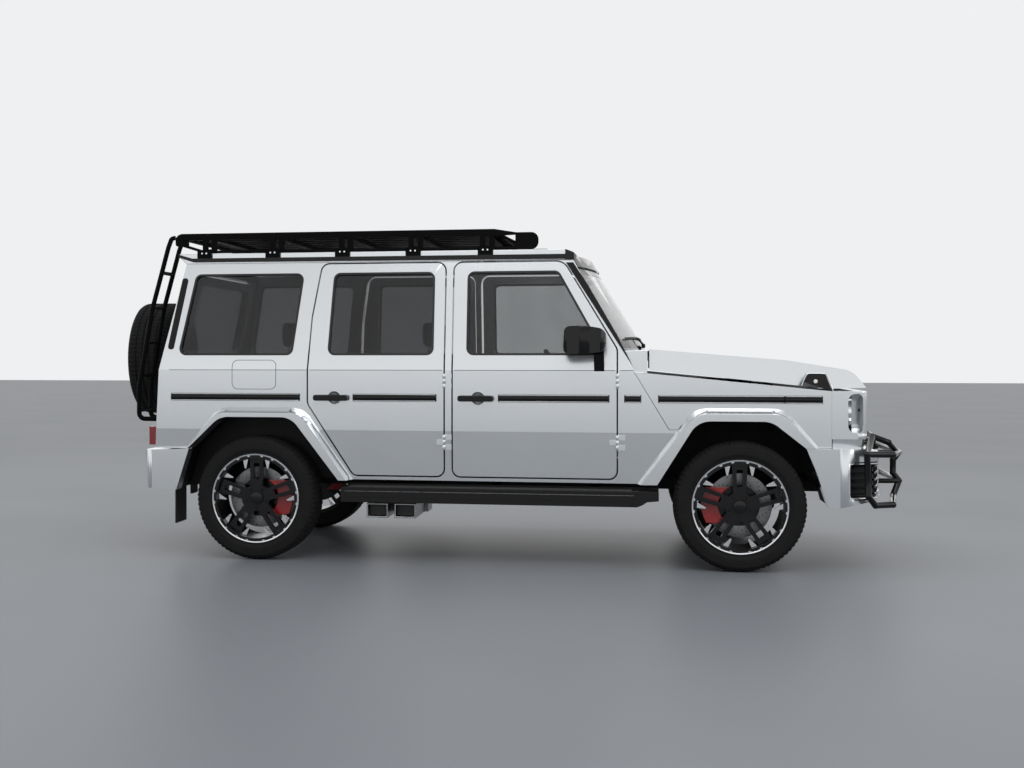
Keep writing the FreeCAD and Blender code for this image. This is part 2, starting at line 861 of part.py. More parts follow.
def body_side():
    slab = side_slab("side_wall_slab", 0, "wall")
    profile = across_side("body_side_prism", outline("body_side_outline", "side", WALL_START, BODY_SIDE))
    panel = common("body_side_blank", slab, profile)
    pierced = cut("body_side_pierced", panel, apertures["front"], apertures["rear"],
                  window_cuts["quarter"], arch_cuts["rear"], arch_cuts["front"])
    rear_flare = flare("rear_flare", ("flare_r_low_x", "shell_low"), "flare_r_front_x", "flare_r_top_z",
                       "flare_r_back_x", ("flare_r_tail_x", "flare_r_tail_z"), arch_cuts["rear"])
    leaves = [side_hinges("body_" + key, *DOOR_HINGES[key])[0] for key in ("front", "rear")]
    whole = fuse("body_side_right", pierced, rear_flare, *leaves)
    sub_part("body_side_right", whole)
    sub_part("body_side_left", mirrored("body_side_left", whole))


def doors():
    outer = side_slab("door_outer_slab", 0, "door_skin_t")
    inner_slab = side_slab("door_inner_slab", "door_skin_t", "wall")
    pane = side_slab("glass_slab", "glass_in", "glass_in + glass_t")
    for key in ("front", "rear"):
        skin = common(key + "_door_skin", outer, across_side(key + "_door_prism", door_profiles[key]))
        step = grown(key + "_door_step_outline", door_profiles[key], "-door_step")
        lining = common(key + "_door_lining", inner_slab, across_side(key + "_door_step", step))
        fixed, moving = side_hinges(key, *DOOR_HINGES[key])
        door = cut(f"door_{key}_right", fuse(key + "_door_blank", skin, lining, moving), window_cuts[key])
        inner = grown(key + "_glass_outline", window_profiles[key], "-slit")
        glass = common(f"door_glass_{key}_right", pane, across_side(key + "_glass_prism", inner))
        sub_part(f"door_{key}_right", door)
        sub_part(f"door_{key}_left", mirrored(f"door_{key}_left", door))
        sub_part(f"door_glass_{key}_right", glass)
        sub_part(f"door_glass_{key}_left", mirrored(f"door_glass_{key}_left", glass))


def mirrors():
    back, front = "mirror_x - mirror_w / 2", "mirror_x + mirror_w / 2"
    low, top = "mirror_z - mirror_h / 2", "mirror_z + mirror_h / 2"
    outer, inner = "-mirror_in_y - mirror_depth", "-mirror_in_y"
    round_r = "mirror_h / 3"
    upright = prism("mirror_side", "side",
                    [(back, low, "0.6 * mirror_h / 3"), (front, f"{low} + 14", round_r),
                     (front, f"{top} - 20", round_r),
                     (f"mirror_x", top, "3 * mirror_h"), (f"{back} + 8", f"{top} - 4", "0.6 * mirror_h / 3")],
                    outer, inner)
    plan = prism("mirror_plan", "top",
                 [(back, f"{outer} + 12", "mirror_depth / 6"), ("mirror_x", outer, "mirror_depth"),
                  (front, f"{outer} + 40", "mirror_depth / 3"), (f"{front} - 6", inner, "mirror_depth / 5"),
                  (back, inner, "mirror_depth / 10")], f"{low} - 5", f"{top} + 5")
    shell = common("mirror_shell", upright, plan)
    foot = prism("mirror_foot", "front",
                 [("-body_half", "mirror_foot_z"), ("-body_half", "mirror_foot_z - 40"),
                  ("-mirror_in_y - 40", "mirror_z - mirror_h / 2"), ("-mirror_in_y", "mirror_z"),
                  ("-body_half + (mirror_foot_z + 30 - crease_z) * (body_half - gutter_half) / (gutter_z - crease_z)",
                   "mirror_foot_z + 30")],
                 "mirror_foot_x - 30", "mirror_foot_x + 30")
    right = fuse("mirror_right", shell, foot)
    sub_part("mirror_right", right)
    sub_part("mirror_left", mirrored("mirror_left", right))


# Roof, floor and rear wall

def raked_sheet(name, ahead, behind):
    """The bowed and raked sheet that the windscreen and its header follow."""
    foot = doc.addObject("Sketcher::SketchObject", name + "_foot")
    put_on_plane(foot, "top", "screen_base_z - 40")
    half = "screen_half + 60"
    side = "screen_side_x + 40 * screen_rake - 18"
    apex = f"2 * (screen_base_x + 40 * screen_rake) - ({side}) - 18"
    draw(foot, [(f"{side} + {ahead}", neg(half)), (f"{apex} + {ahead}", 0, "screen_bow_r"),
                (f"{side} + {ahead}", half), (f"{side} - ({behind})", half),
                (f"{apex} - ({behind})", 0, "screen_bow_r"), (f"{side} - ({behind})", neg(half))])
    raked = doc.addObject("Part::Extrusion", name)
    raked.Base = foot
    raked.DirMode = "Custom"
    raked.Dir = V(-number("screen_rake"), 0, 1)
    bind(raked, "Dir.x", "-screen_rake")
    bind(raked, "LengthFwd", "(gutter_z + 60 - screen_base_z + 40) * sqrt(1 + screen_rake ^ 2)")
    raked.Solid = True
    return raked


def screen_edges(name, low, high):
    """What lies between the two walls' inner faces, as wide as they leave it."""
    edge = "body_half - wall - slit"
    lean = "(body_half - gutter_half) / (gutter_z - crease_z)"
    return prism(name, "front",
                 [(f"-({edge}) + ({low} - crease_z) * {lean}", low),
                  (f"({edge}) - ({low} - crease_z) * {lean}", low),
                  (f"({edge}) - ({high} - crease_z) * {lean}", high),
                  (f"-({edge}) + ({high} - crease_z) * {lean}", high)],
                 "0", "screen_base_x + 100")


def roof():
    half = "gutter_half"
    section = prism("roof_section", "front",
                    [(neg(half), "gutter_z"), (neg(half), "roof_edge_z"), (0, "roof_top_z + 4", 9000),
                     (half, "roof_edge_z"), (half, "gutter_z"), (f"{half} - roof_t", "gutter_z"),
                     (f"{half} - roof_t", "roof_edge_z - roof_t"),
                     (0, "roof_top_z + 4 - roof_t", 9000),
                     (f"-{half} + roof_t", "roof_edge_z - roof_t"), (f"-{half} + roof_t", "gutter_z")],
                    "roof_tail_x - 30", "roof_lip_x + 40")
    side = prism("roof_side", "side",
                 [("rear_top_x", "gutter_z"), ("roof_tail_x", "roof_tail_z"),
                  ("roof_tail_x + 30", "roof_top_z + 20"), ("roof_fall_x", "roof_top_z + 20", 400),
                  ("roof_brow_x", "roof_brow_z", 60),
                  ("pillar_top_x + 40", "gutter_z")], "-body_half", "body_half")
    plan = prism("roof_plan", "top",
                 [("roof_tail_x - 40", "-body_half"), ("pillar_top_x + 6", "-gutter_half"),
                  ("pillar_top_x + 6 + 2 * roof_bow", 0, "roof_bow_r"),
                  ("pillar_top_x + 6", "gutter_half"), ("roof_tail_x - 40", "body_half")],
                 "gutter_z - 10", "roof_top_z + 60")
    panel = common("roof_shell", section, side, plan)
    header = common("roof_header", raked_sheet("header_sheet", "header_out", "header_back"),
                    screen_edges("header_edges", "screen_top_z + slit", "roof_edge_z - roof_t + 10"))
    rail = prism("gutter_rail", "side",
                 [("roof_tail_x + 4", "roof_tail_z - 6"), ("rear_top_x + 50", "gutter_z + 10"),
                  ("pillar_top_x + 10", "gutter_z + 4"), ("pillar_top_x - 20", "gutter_z + gutter_h"),
                  ("rear_top_x + 40", "gutter_z + gutter_h"), ("roof_tail_x", "roof_tail_z + 14")],
                 "-gutter_half - gutter_out", "-gutter_half")
    front = box("roof_lip_zone", ("roof_line_x", "roof_lip_x + 200"), ("-body_half", "body_half"),
                ("gutter_z - 60", "roof_top_z + 80"))
    main = sub_part("roof_panel", cut("roof_panel", panel, front))
    sub_part("roof_trim", fuse("roof_trim", common("roof_lip", panel, front),
                               cut("roof_header_fit", header, main),
                               rail, mirrored("gutter_rail_left", rail)))


HOOD_AXIS = ("hood_back_x - 1", "hood_back_z - 2 * hood_hinge_r")
LEAN = "(body_half - gutter_half) / (gutter_z - crease_z)"


def floor():
    low = "shell_low"
    top = "shell_low + floor_t"
    inside = "body_half - wall"
    front = box("floor_front", ("floor_waist_x", "floor_front_x"), (neg(inside), inside), (low, top))
    back = box("floor_back", ("floor_back_x", "floor_waist_x + 1"),
               ("-floor_narrow_half", "floor_narrow_half"), (low, top))
    bulkhead = prism("bulkhead", "front",
                     [(neg(inside), low), (inside, low), (inside, "crease_z"),
                      (f"{inside} - (cowl_z - crease_z) * {LEAN}", "cowl_z"),
                      (f"-({inside}) + (cowl_z - crease_z) * {LEAN}", "cowl_z"), (neg(inside), "crease_z")],
                     "bulkhead_x - bulkhead_t", "bulkhead_x")
    cowl = prism("cowl", "top",
                 [("bulkhead_x - bulkhead_t", neg("hood_half")), ("hood_back_x - hood_gap", neg("hood_half")),
                  ("hood_back_x - hood_gap", "hood_half"), ("bulkhead_x - bulkhead_t", "hood_half")],
                 "cowl_z - 40", "cowl_z")
    pins = []
    for side in (-1, 1):
        for j in (0, 2):
            pins.append(rod(f"bonnet_hinge_{side}_{j}", "y",
                            (HOOD_AXIS[0], f"{side} * hood_hinge_y - 1.5 * hood_hinge_w + {j} * hood_hinge_w",
                             HOOD_AXIS[1]), "hood_hinge_r", "hood_hinge_w"))
            pins.append(box(f"bonnet_hinge_seat_{side}_{j}", ("hood_back_x - hood_gap - 20", HOOD_AXIS[0]),
                            (f"{side} * hood_hinge_y - 1.5 * hood_hinge_w + {j} * hood_hinge_w",
                             f"{side} * hood_hinge_y - 0.5 * hood_hinge_w + {j} * hood_hinge_w"),
                            ("cowl_z - 10", f"{HOOD_AXIS[1]} + hood_hinge_r / 2")))
    sub_part("floor_pan", fuse("floor_pan", front, back, bulkhead, cowl, *pins))


GATE_AXIS = ("rear_low_x - hinge_r - 4", "-gate_half - gate_gap / 2")
GATE = [("-gate_half", "gate_low_z", "gate_r"), ("gate_half", "gate_low_z", "gate_r"),
        ("gate_half", "crease_z"), ("gate_top_half", "gate_top_z", "gate_r"),
        ("-gate_top_half", "gate_top_z", "gate_r"), ("-gate_half", "crease_z")]
GATE_WINDOW = [("-gwin_half", "gwin_low_z", "win_r"), ("gwin_half", "gwin_low_z", "win_r"),
               ("gwin_top_half", "gwin_top_z", "win_r"), ("-gwin_top_half", "gwin_top_z", "win_r")]


def rear_slab(name, out_in, in_in):
    """The rear wall as seen from the side, leaning forward above the waist."""
    return prism(name, "side",
                 [(f"rear_low_x + {out_in}", "rear_low_z"), (f"rear_waist_x + {out_in}", "crease_z"),
                  (f"rear_top_x + {out_in}", "gutter_z"), (f"rear_top_x + {in_in}", "gutter_z"),
                  (f"rear_waist_x + {in_in}", "crease_z"), (f"rear_low_x + {in_in}", "rear_low_z")],
                 "-body_half", "body_half")


def gate_hinges():
    """Outside hinges on the right edge of the tailgate."""
    fixed = []
    moving = []
    part = "hinge_h / 3"
    for i, z in enumerate(("ghinge_low_z", "ghinge_top_z")):
        for j, group in ((0, fixed), (1, moving), (2, fixed)):
            name = f"gate_hinge_{i}_{j}"
            low = f"{z} + {j} * ({part})" + (" + slit" if j == 1 else "")
            high = f"{part} - 2 * slit" if j == 1 else part
            knuckle = rod(name + "_knuckle", "z", (GATE_AXIS[0], GATE_AXIS[1], low), "hinge_r", high)
            if j == 1:
                ends = (GATE_AXIS[1], f"{GATE_AXIS[1]} + hinge_leaf")
            else:
                ends = (f"{GATE_AXIS[1]} - hinge_leaf + 12", GATE_AXIS[1])
            leaf = box(name + "_leaf", (GATE_AXIS[0], "rear_low_x + 28"), ends, (low, f"{low} + {high}"))
            group += [knuckle, leaf]
    return fuse("gate_hinge_fixed", *fixed), fuse("gate_hinge_moving", *moving)


def rear_wall():
    section = prism("rear_section", "front",
                    [("-body_half + wall", "rear_low_z"), ("body_half - wall", "rear_low_z"),
                     ("body_half - wall", "crease_z"), ("gutter_half - wall", "gutter_z"),
                     ("-gutter_half + wall", "gutter_z"), ("-body_half + wall", "crease_z")],
                    "rear_low_x - 20", "rear_top_x + rear_wall + 40")
    slab = common("rear_blank", rear_slab("rear_slab", 0, "rear_wall"), section)
    gate_profile = outline("gate_outline", "front", "rear_low_x - 30", GATE)
    opening = extrude("gate_opening", grown("gate_opening_outline", gate_profile, "gate_gap"),
                      "front", "rear_wall + 300")
    skin = common("gate_skin", rear_slab("gate_skin_slab", 0, "gate_skin_t"),
                  extrude("gate_prism", gate_profile, "front", "rear_wall + 300"))
    step = grown("gate_step_outline", gate_profile, "-gate_step")
    lining = common("gate_lining", rear_slab("gate_lining_slab", "gate_skin_t", "rear_wall"),
                    extrude("gate_step_prism", step, "front", "rear_wall + 300"))
    window = outline("gate_window_outline", "front", "rear_low_x - 30", GATE_WINDOW)
    fixed, moving = gate_hinges()
    sub_part("rear_panel", fuse("rear_panel", cut("rear_ring", slab, opening), fixed))
    sub_part("tailgate", cut("tailgate", fuse("gate_blank", skin, lining, moving),
                             extrude("gate_window_cut", window, "front", "rear_wall + 300")))
    pane = common("tailgate_glass", rear_slab("gate_glass_slab", "glass_in", "glass_in + glass_t"),
                  extrude("gate_glass_prism", grown("gate_glass_outline", window, "-slit"),
                          "front", "rear_wall + 300"))
    sub_part("tailgate_glass", pane)


def fixed_glass():
    screen = common("windscreen", raked_sheet("screen_sheet", "0", "screen_t"),
                    screen_edges("screen_edges", "screen_base_z", "screen_top_z"))
    pane = side_slab("quarter_slab", "glass_in", "glass_in + glass_t")
    inner = grown("quarter_glass_outline", window_profiles["quarter"], "-slit")
    quarter = common("quarter_glass", pane, across_side("quarter_glass_prism", inner))
    sub_part("fixed_glass", together("fixed_glass", screen, quarter, mirrored("quarter_glass_left", quarter)))


# Front end

def bonnet():
    def side_profile(drop):
        return [("hood_back_x", f"hood_low_back_z - {drop}"), ("hood_back_x", f"hood_back_z - {drop}"),
                ("hood_mid_x", f"hood_mid_z - {drop}"),
                (f"hood_brow_x - {drop}", f"hood_brow_z - {drop}", 120),
                (f"hood_nose_x - {drop}", "hood_nose_z"),
                ("wing_front_x", f"hood_low_front_z - {drop}")]

    def section(inset):
        return [(f"-hood_half + {inset}", "hood_low_front_z - 100"),
                (f"-hood_half + {inset}", "hood_low_front_z"),
                (f"-hood_top_half + {inset}", "hood_back_z + 20"),
                (f"hood_top_half - {inset}", "hood_back_z + 20"),
                (f"hood_half - {inset}", "hood_low_front_z"),
                (f"hood_half - {inset}", "hood_low_front_z - 100")]
    outer = common("bonnet_outer",
                   prism("bonnet_side", "side", side_profile("0"), "-hood_half", "hood_half"),
                   prism("bonnet_section", "front", section("0"), "hood_back_x", "hood_nose_x"))
    inner = common("bonnet_inner",
                   prism("bonnet_inner_side", "side", side_profile("hood_t"), "-hood_half", "hood_half"),
                   prism("bonnet_inner_section", "front", section("hood_t"),
                         "hood_back_x - 10", "hood_nose_x - hood_t"))
    lugs = []
    for side in (-1, 1):
        middle = (f"{side} * hood_hinge_y - hood_hinge_w / 2 + slit",
                  f"{side} * hood_hinge_y + hood_hinge_w / 2 - slit")
        lugs.append(rod(f"bonnet_lug_{side}", "y", (HOOD_AXIS[0], middle[0], HOOD_AXIS[1]),
                        "hood_hinge_r", "hood_hinge_w - 2 * slit"))
        lugs.append(box(f"bonnet_lug_arm_{side}", (HOOD_AXIS[0], "hood_back_x + 60"), middle,
                        (f"{HOOD_AXIS[1]} - hood_hinge_r", "hood_back_z - 14")))
    clearing = [box(f"bonnet_hinge_room_{side}", ("hood_back_x - 20", "hood_back_x + 16"),
                    (f"{side} * hood_hinge_y - 2 * hood_hinge_w",
                     f"{side} * hood_hinge_y + 2 * hood_hinge_w"),
                    (f"{HOOD_AXIS[1]} - hood_hinge_r - 20", f"{HOOD_AXIS[1]} + hood_hinge_r + 3"))
                for side in (-1, 1)]
    shell = cut("bonnet_shell", outer, inner, *clearing)
    sub_part("bonnet", fuse("bonnet", shell, *lugs))


def front_wings():
    profile = [("wing_back_x + 2", "wing_back_z"), ("wing_front_x", "wing_top_front_z"),
               ("wing_front_x", "wing_low_z + 20"), ("wing_low_x", "wing_low_z + 20"),
               ("arch_f_front_x", "wing_line_low_z + 2"), ("wing_line_low_x + 2", "wing_line_low_z + 2")]
    skin = prism("wing_skin", "side", profile, "-body_half", "-wing_in_half")
    whole = cut("wing_panel", skin, arch_cuts["front"])
    arch = flare("front_flare", ("flare_f_low_x", "flare_f_low_z"), "flare_f_back_x", "flare_f_top_z",
                 "flare_f_front_x", ("flare_f_nose_x", "flare_f_nose_z + 3"), arch_cuts["front"])
    fitted = cut("front_flare_fit", arch, nodes["body_side_right"])
    sub_part("front_wings", both_sides("front_wings", fuse("front_wing_right", whole, fitted)))


def nose():
    block = box("nose_block", ("nose_front_x - nose_t", "nose_front_x"), ("-body_half", "body_half"),
                ("nose_low_z", "nose_top_z"))
    cheek = box("nose_cheek", ("wing_front_x + slit", "nose_front_x"), ("-body_half", "-wing_in_half"),
                ("nose_low_z", "nose_top_z"))
    opening = box("grille_opening", ("nose_front_x - nose_t - 5", "nose_front_x + 5"),
                  ("-grille_half", "grille_half"), ("grille_low_z", "grille_top_z"))
    eye = rod("lamp_opening", "x", ("nose_front_x - lamp_depth - 5", "-lamp_y", "lamp_z"),
              "lamp_r + slit", "lamp_depth + 10")
    niche = prism("lamp_niche", "side",
                  [("lamp_niche_x", "lamp_z - lamp_r", "niche_r"), ("nose_front_x + 20", "lamp_z - lamp_r"),
                   ("nose_front_x + 20", "lamp_z + lamp_r"), ("lamp_niche_x", "lamp_z + lamp_r", "niche_r")],
                  "-body_half - 10", "-lamp_y")
    backing = box("lamp_backing", ("lamp_niche_x - 14", "lamp_niche_x"),
                  ("-body_half + 40", "-lamp_y + lamp_r + 12"),
                  ("nose_low_z", "nose_top_z - 4"))
    rounding = prism("nose_plan", "top",
                     [("wing_front_x - 10", "-body_half"), ("nose_front_x", "-body_half", "nose_corner_r"),
                      ("nose_front_x", "body_half", "nose_corner_r"), ("wing_front_x - 10", "body_half")],
                     "nose_low_z - 5", "nose_top_z + 5")
    panel = common("nose_rounded", fuse("nose_blank", block, cheek, mirrored("nose_cheek_left", cheek)),
                   rounding)
    holes = [opening, eye, mirrored("lamp_opening_left", eye), niche, mirrored("lamp_niche_left", niche)]
    sub_part("nose_panel", fuse("nose_panel", cut("nose_pierced", panel, *holes), backing,
                                mirrored("lamp_backing_left", backing)))
    lamp = rod("headlamp", "x", ("lamp_niche_x + slit", "-lamp_y", "lamp_z"), "lamp_r",
               "lamp_front_x - lamp_niche_x - slit")
    sub_part("headlamps", both_sides("headlamps", lamp))
    half = "grille_half - slit"
    low = "grille_low_z + slit"
    top = "grille_top_z - slit"
    outer = box("grille_outer", ("nose_front_x - grille_depth", "nose_front_x + 6"), (neg(half), half),
                (low, top))
    inner = box("grille_inner", ("nose_front_x - grille_depth - 5", "nose_front_x + 16"),
                (f"-({half}) + grille_frame", f"{half} - grille_frame"),
                (f"{low} + grille_frame", f"{top} - grille_frame"))
    frame = cut("grille_frame_ring", outer, inner)
    bars = [box(f"grille_bar_{i}", ("nose_front_x - grille_depth + 6", "nose_front_x - 2"), (neg(half), half),
                (f"{low} + ({top} - {low}) * {i} / 4 - 11", f"{low} + ({top} - {low}) * {i} / 4 + 11"))
            for i in (1, 2, 3)]
    sub_part("grille", fuse("grille", frame, *bars))
    blinker = prism("indicator", "side",
                    [("indicator_back_x", "indicator_top_z - 45"),
                     ("indicator_back_x + 25", "indicator_top_z"),
                     ("indicator_front_x - 40", "indicator_top_z"),
                     ("indicator_front_x", "wing_top_front_z - 1")],
                    "-indicator_out_y", "-indicator_in_y")
    wing_top = prism("indicator_seat", "side",
                     [("wing_back_x + 2", "wing_back_z"), ("wing_front_x", "wing_top_front_z"),
                      ("wing_front_x + 20", "wing_top_front_z"), ("wing_front_x + 20", "wing_low_z"),
                      ("wing_back_x + 2", "wing_low_z")],
                     "-indicator_out_y - 10", "-indicator_in_y + 10")
    sub_part("indicators", both_sides("indicators", cut("indicator_right", blinker, wing_top)))


def front_bumper():
    side = prism("fbump_side_view", "side",
                 [("arch_f_nose_x - 36", "fbump_top_z"), ("arch_f_end_x - 66", "fbump_step_z - 53"),
                  ("arch_f_end_x", "fbump_low_z + 6"), ("arch_f_end_x + 31", "fbump_low_z"),
                  ("fbump_shelf_x", "fbump_low_front_z", 60), ("fbump_front_x", "fbump_low_front_z + 40", 30),
                  ("fbump_front_x + 6", "fbump_top_z - 26", "fbump_edge_r"),
                  ("fbump_front_x - 90", "fbump_top_z", "2 * fbump_edge_r")],
                 "-fbump_half", "fbump_half")
    corner = [("fbump_side_x", "fbump_half", "fbump_corner_r"),
              ("fbump_corner_x", "fbump_corner_y", "fbump_corner_r"),
              ("fbump_front_x", "fbump_face_y", "2 * fbump_corner_r")]
    inside = [("arch_f_nose_x - 60", "fbump_half - 90"), ("arch_f_end_x + 26", "fbump_half - 105"),
              ("fbump_side_x", "fbump_inner_y"), ("fbump_front_x - fbump_wall", "fbump_face_y")]

    def across(corners, way):
        return [(x, f"{way} * ({y})", *rest) for x, y, *rest in corners]
    plan = prism("fbump_plan", "top",
                 [("arch_f_nose_x - 60", "-fbump_half"), *across(corner, -1), *across(corner[::-1], 1),
                  ("arch_f_nose_x - 60", "fbump_half"), *across(inside, 1), *across(inside[::-1], -1)],
                 "fbump_low_z - 20", "fbump_top_z + 20")
    intake = box("front_intake", ("fbump_front_x - intake_depth", "fbump_front_x + 20"),
                 ("-intake_half", "intake_half"), ("intake_low_z", "intake_top_z"))
    mouth = common("side_intake",
                   prism("side_intake_side", "side",
                         [("duct_back_x", "duct_low_z", "duct_r"), ("fbump_front_x + 60", "duct_low_z"),
                          ("fbump_front_x + 60", "duct_top_z"), ("duct_back_x", "duct_top_z", "duct_r")],
                         "-fbump_half - 10", "-intake_half - duct_post"),
                   prism("side_intake_plan", "top",
                         [("duct_back_x - 10", "-fbump_half - 10"),
                          ("fbump_front_x + 50", "-fbump_half - 10"),
                          ("fbump_front_x + 50", "-intake_half - duct_post"),
                          ("fbump_front_x - duct_depth / 2", "-intake_half - duct_post"),
                          ("fbump_corner_x - duct_depth", "-fbump_corner_y + duct_depth"),
                          ("duct_back_x - 10", "-fbump_half + duct_depth / 2")],
                         "duct_low_z - 5", "duct_top_z + 5"))
    sub_part("front_bumper", cut("front_bumper", common("fbump_blank", side, plan), intake, mouth,
                                 mirrored("side_intake_left", mouth)))


def bull_bar():
    """Side loops round the bumper's corners, a raised cross tube and two lower cross tubes."""
    loop = [("loop_back_x", "-loop_out_y", "loop_top_z"),
            ("loop_corner_x", "-loop_corner_y", "loop_top_z - 6"),
            ("bar_tip_x", "-loop_in_y", "bar_mid_z"),
            ("bar_tip_x - loop_pinch", "-loop_in_y", "bar_mid_z - 1.4 * loop_pinch"),
            ("bar_tip_x - loop_pinch", "-loop_in_y", "bar_arm_z + 1.6 * loop_pinch"),
            ("bar_tip_x", "-loop_in_y", "bar_arm_z + 8"),
            ("bar_tip_x - 1.2 * loop_pinch", "-loop_in_y - 40", "bar_low_z + 12"),
            ("loop_corner_x", "-loop_corner_y", "bar_low_z"),
            ("loop_back_x + 50", "-loop_out_y + 28", "bar_low_z"),
            ("loop_back_x + 8", "-loop_out_y + 4", "bar_low_z + 54")]
    crown = [("loop_back_x", "-loop_out_y", "loop_top_z"), ("crown_x", "-crown_out_y", "crown_low_z"),
             ("crown_x - 20", "-crown_in_y", "crown_z"), ("crown_x - 20", "crown_in_y", "crown_z"),
             ("crown_x", "crown_out_y", "crown_low_z"), ("loop_back_x", "loop_out_y", "loop_top_z")]
    brace = [("crown_x", "-crown_out_y", "crown_low_z"), ("brow_x", "-crown_out_y", "crown_low_z - 34"),
             ("bar_tip_x - 30", "-brace_y", "bar_mid_z + 2")]
    foot = [("crown_x", "-crown_out_y", "crown_low_z"), ("crown_x", "-crown_out_y", "fbump_top_z - 30")]
    tie_in = [("loop_corner_x", "-loop_corner_y", "loop_top_z - 6"),
              ("fbump_corner_x - 20", "-fbump_corner_y + 30", "loop_top_z - 6")]
    right = (bent_tube("bar_loop", loop, "bar_r", True) + bent_tube("bar_brace", brace, "bar_r")
             + bent_tube("bar_foot", foot, "bar_r") + bent_tube("bar_tie", tie_in, "bar_r - 4"))
    for i, (x, z) in enumerate((("fbump_front_x - intake_depth - 10", "bar_arm_z + 8"),
                                ("fbump_front_x - 40", "bar_mid_z"))):
        right.append(strut(f"bar_arm_{i}", (x, "-loop_in_y - 60", z),
                           ("bar_tip_x - 10", "-loop_in_y - 20", z), "bar_r - 3"))
    tubes = [piece for piece in right if piece.TypeId == "Part::Cylinder"]
    bends = [piece for piece in right if piece.TypeId == "Part::Sphere"]
    side = chained("bar_side", *tubes, *bends)
    cross = [strut(f"bar_cross_{i}", ("bar_tip_x", "-loop_in_y", z), ("bar_tip_x", "loop_in_y", z), "bar_r")
             for i, z in enumerate(("bar_arm_z + 8", "bar_mid_z"))]
    whole = chained("bull_bar_whole", side, mirrored("bar_side_left", side), chained("bar_cross", *cross),
                    chained("bar_crown", *bent_tube("bar_crown", crown, "bar_r")))
    sub_part("bull_bar", cut("bull_bar", whole, nodes["front_bumper"]))


# Rear end

def rear_bumper():
    side = prism("rbump_side_view", "side",
                 [("arch_r_tail_x", "rbump_top_z + 8"), ("rbump_back_x + 30", "rbump_top_z"),
                  ("rbump_back_x", "rbump_top_z - 30"), ("rbump_back_x + 20", "rbump_low_z + 60"),
                  ("rbump_back_x + 60", "rbump_low_z"), ("arch_r_end_x", "arch_r_end_z")],
                 "-rbump_half", "rbump_half")
    plan = prism("rbump_plan", "top",
                 [("arch_r_tail_x + 20", "-rbump_half"), ("rbump_back_x + 60", "-rbump_half", 40),
                  ("rbump_back_x", "-rbump_half + 120", 40), ("rbump_back_x", "rbump_half - 120", 40),
                  ("rbump_back_x + 60", "rbump_half", 40), ("arch_r_tail_x + 20", "rbump_half"),
                  ("arch_r_tail_x + 20", "rbump_half - 80"), ("rbump_in_x", "rbump_half - 130"),
                  ("rbump_in_x", "-rbump_half + 130"), ("arch_r_tail_x + 20", "-rbump_half + 80")],
                 "rbump_low_z - 40", "rbump_top_z + 40")
    sub_part("rear_bumper", common("rear_bumper", side, plan))
    lamp = box("tail_lamp", ("tail_lamp_x", "rear_low_x + 10"), ("-tail_lamp_out_y", "-tail_lamp_in_y"),
               ("tail_lamp_low_z", "tail_lamp_top_z"))
    seat = prism("tail_lamp_seat", "side",
                 [("rear_low_x", "rear_low_z"), ("rear_waist_x", "crease_z"),
                  ("rear_waist_x + 80", "crease_z"),
                  ("rear_low_x + 80", "rear_low_z")], "-body_half", "-tail_lamp_in_y + 20")
    sub_part("tail_lamps", both_sides("tail_lamps", cut("tail_lamp_right", lamp, seat)))


def ladder():
    def stile(name, y):
        return pipe(name, "side", y,
                    [("rear_low_x + (ladder_low_z - rear_low_z) * (rear_waist_x - rear_low_x)"
                      " / (crease_z - rear_low_z) - 1", "ladder_low_z"),
                     ("ladder_x", "ladder_low_z", 40),
                     ("ladder_x", "ladder_bend_z", 200), ("ladder_mid_x", "ladder_mid_z", 400),
                     ("ladder_top_x - 14", "ladder_top_z", 60), ("ladder_top_x + 6", "ladder_top_z + 52")],
                    "ladder_r")
    outer = stile("ladder_stile_out", "-ladder_y_out")
    inner = stile("ladder_stile_in", "-ladder_y_in")
    rungs = []
    for i in range(int(number("ladder_rungs"))):
        level = f"ladder_rung_1 + {i} * ladder_pitch"
        lean = (f"ladder_x + max(0, ({level}) - ladder_bend_z)"
                " * (ladder_mid_x - ladder_x) / (ladder_mid_z - ladder_bend_z)")
        if i > 2:
            lean = (f"ladder_mid_x + (({level}) - ladder_mid_z)"
                    " * (ladder_top_x - 14 - ladder_mid_x) / (ladder_top_z - ladder_mid_z)")
        rungs.append(rod(f"ladder_rung_{i}", "y", (lean, "-ladder_y_out", level),
                         "ladder_r - 3", "ladder_y_out - ladder_y_in"))
    sub_part("ladder", fuse("ladder", outer, inner, *rungs))


# Wheels

TYRE = [("bead_r", "-bead_half_w"), ("flange_r + 2", "-bead_half_w"),
        ("bulge_r", "-tyre_half_w", 40), ("shoulder_r", "-shoulder_half_w", 14),
        ("tyre_r", "-tread_half_w"), ("tyre_r", "tread_half_w"), ("shoulder_r", "shoulder_half_w", 14),
        ("bulge_r", "tyre_half_w", 40), ("flange_r + 2", "bead_half_w"), ("bead_r", "bead_half_w")]


def turned(name, x, y, z, corners):
    """A body turned about the wheel's axle, from a section drawn as (radius, across)."""
    body = doc.addObject("PartDesign::Body", name)
    origin_plane = [f for f in body.Origin.OriginFeatures if f.Role == "XY_Plane"][0]
    sketch = body.newObject("Sketcher::SketchObject", name + "_section")
    sketch.AttachmentSupport = [(origin_plane, "")]
    sketch.MapMode = "FlatFace"
    draw(sketch, corners)
    turn = body.newObject("PartDesign::Revolution", name + "_turn")
    turn.Profile = sketch
    turn.ReferenceAxis = (sketch, ["V_Axis"])
    turn.Angle = 360
    body.Tip = turn
    place(body, x, y, z)
    return body


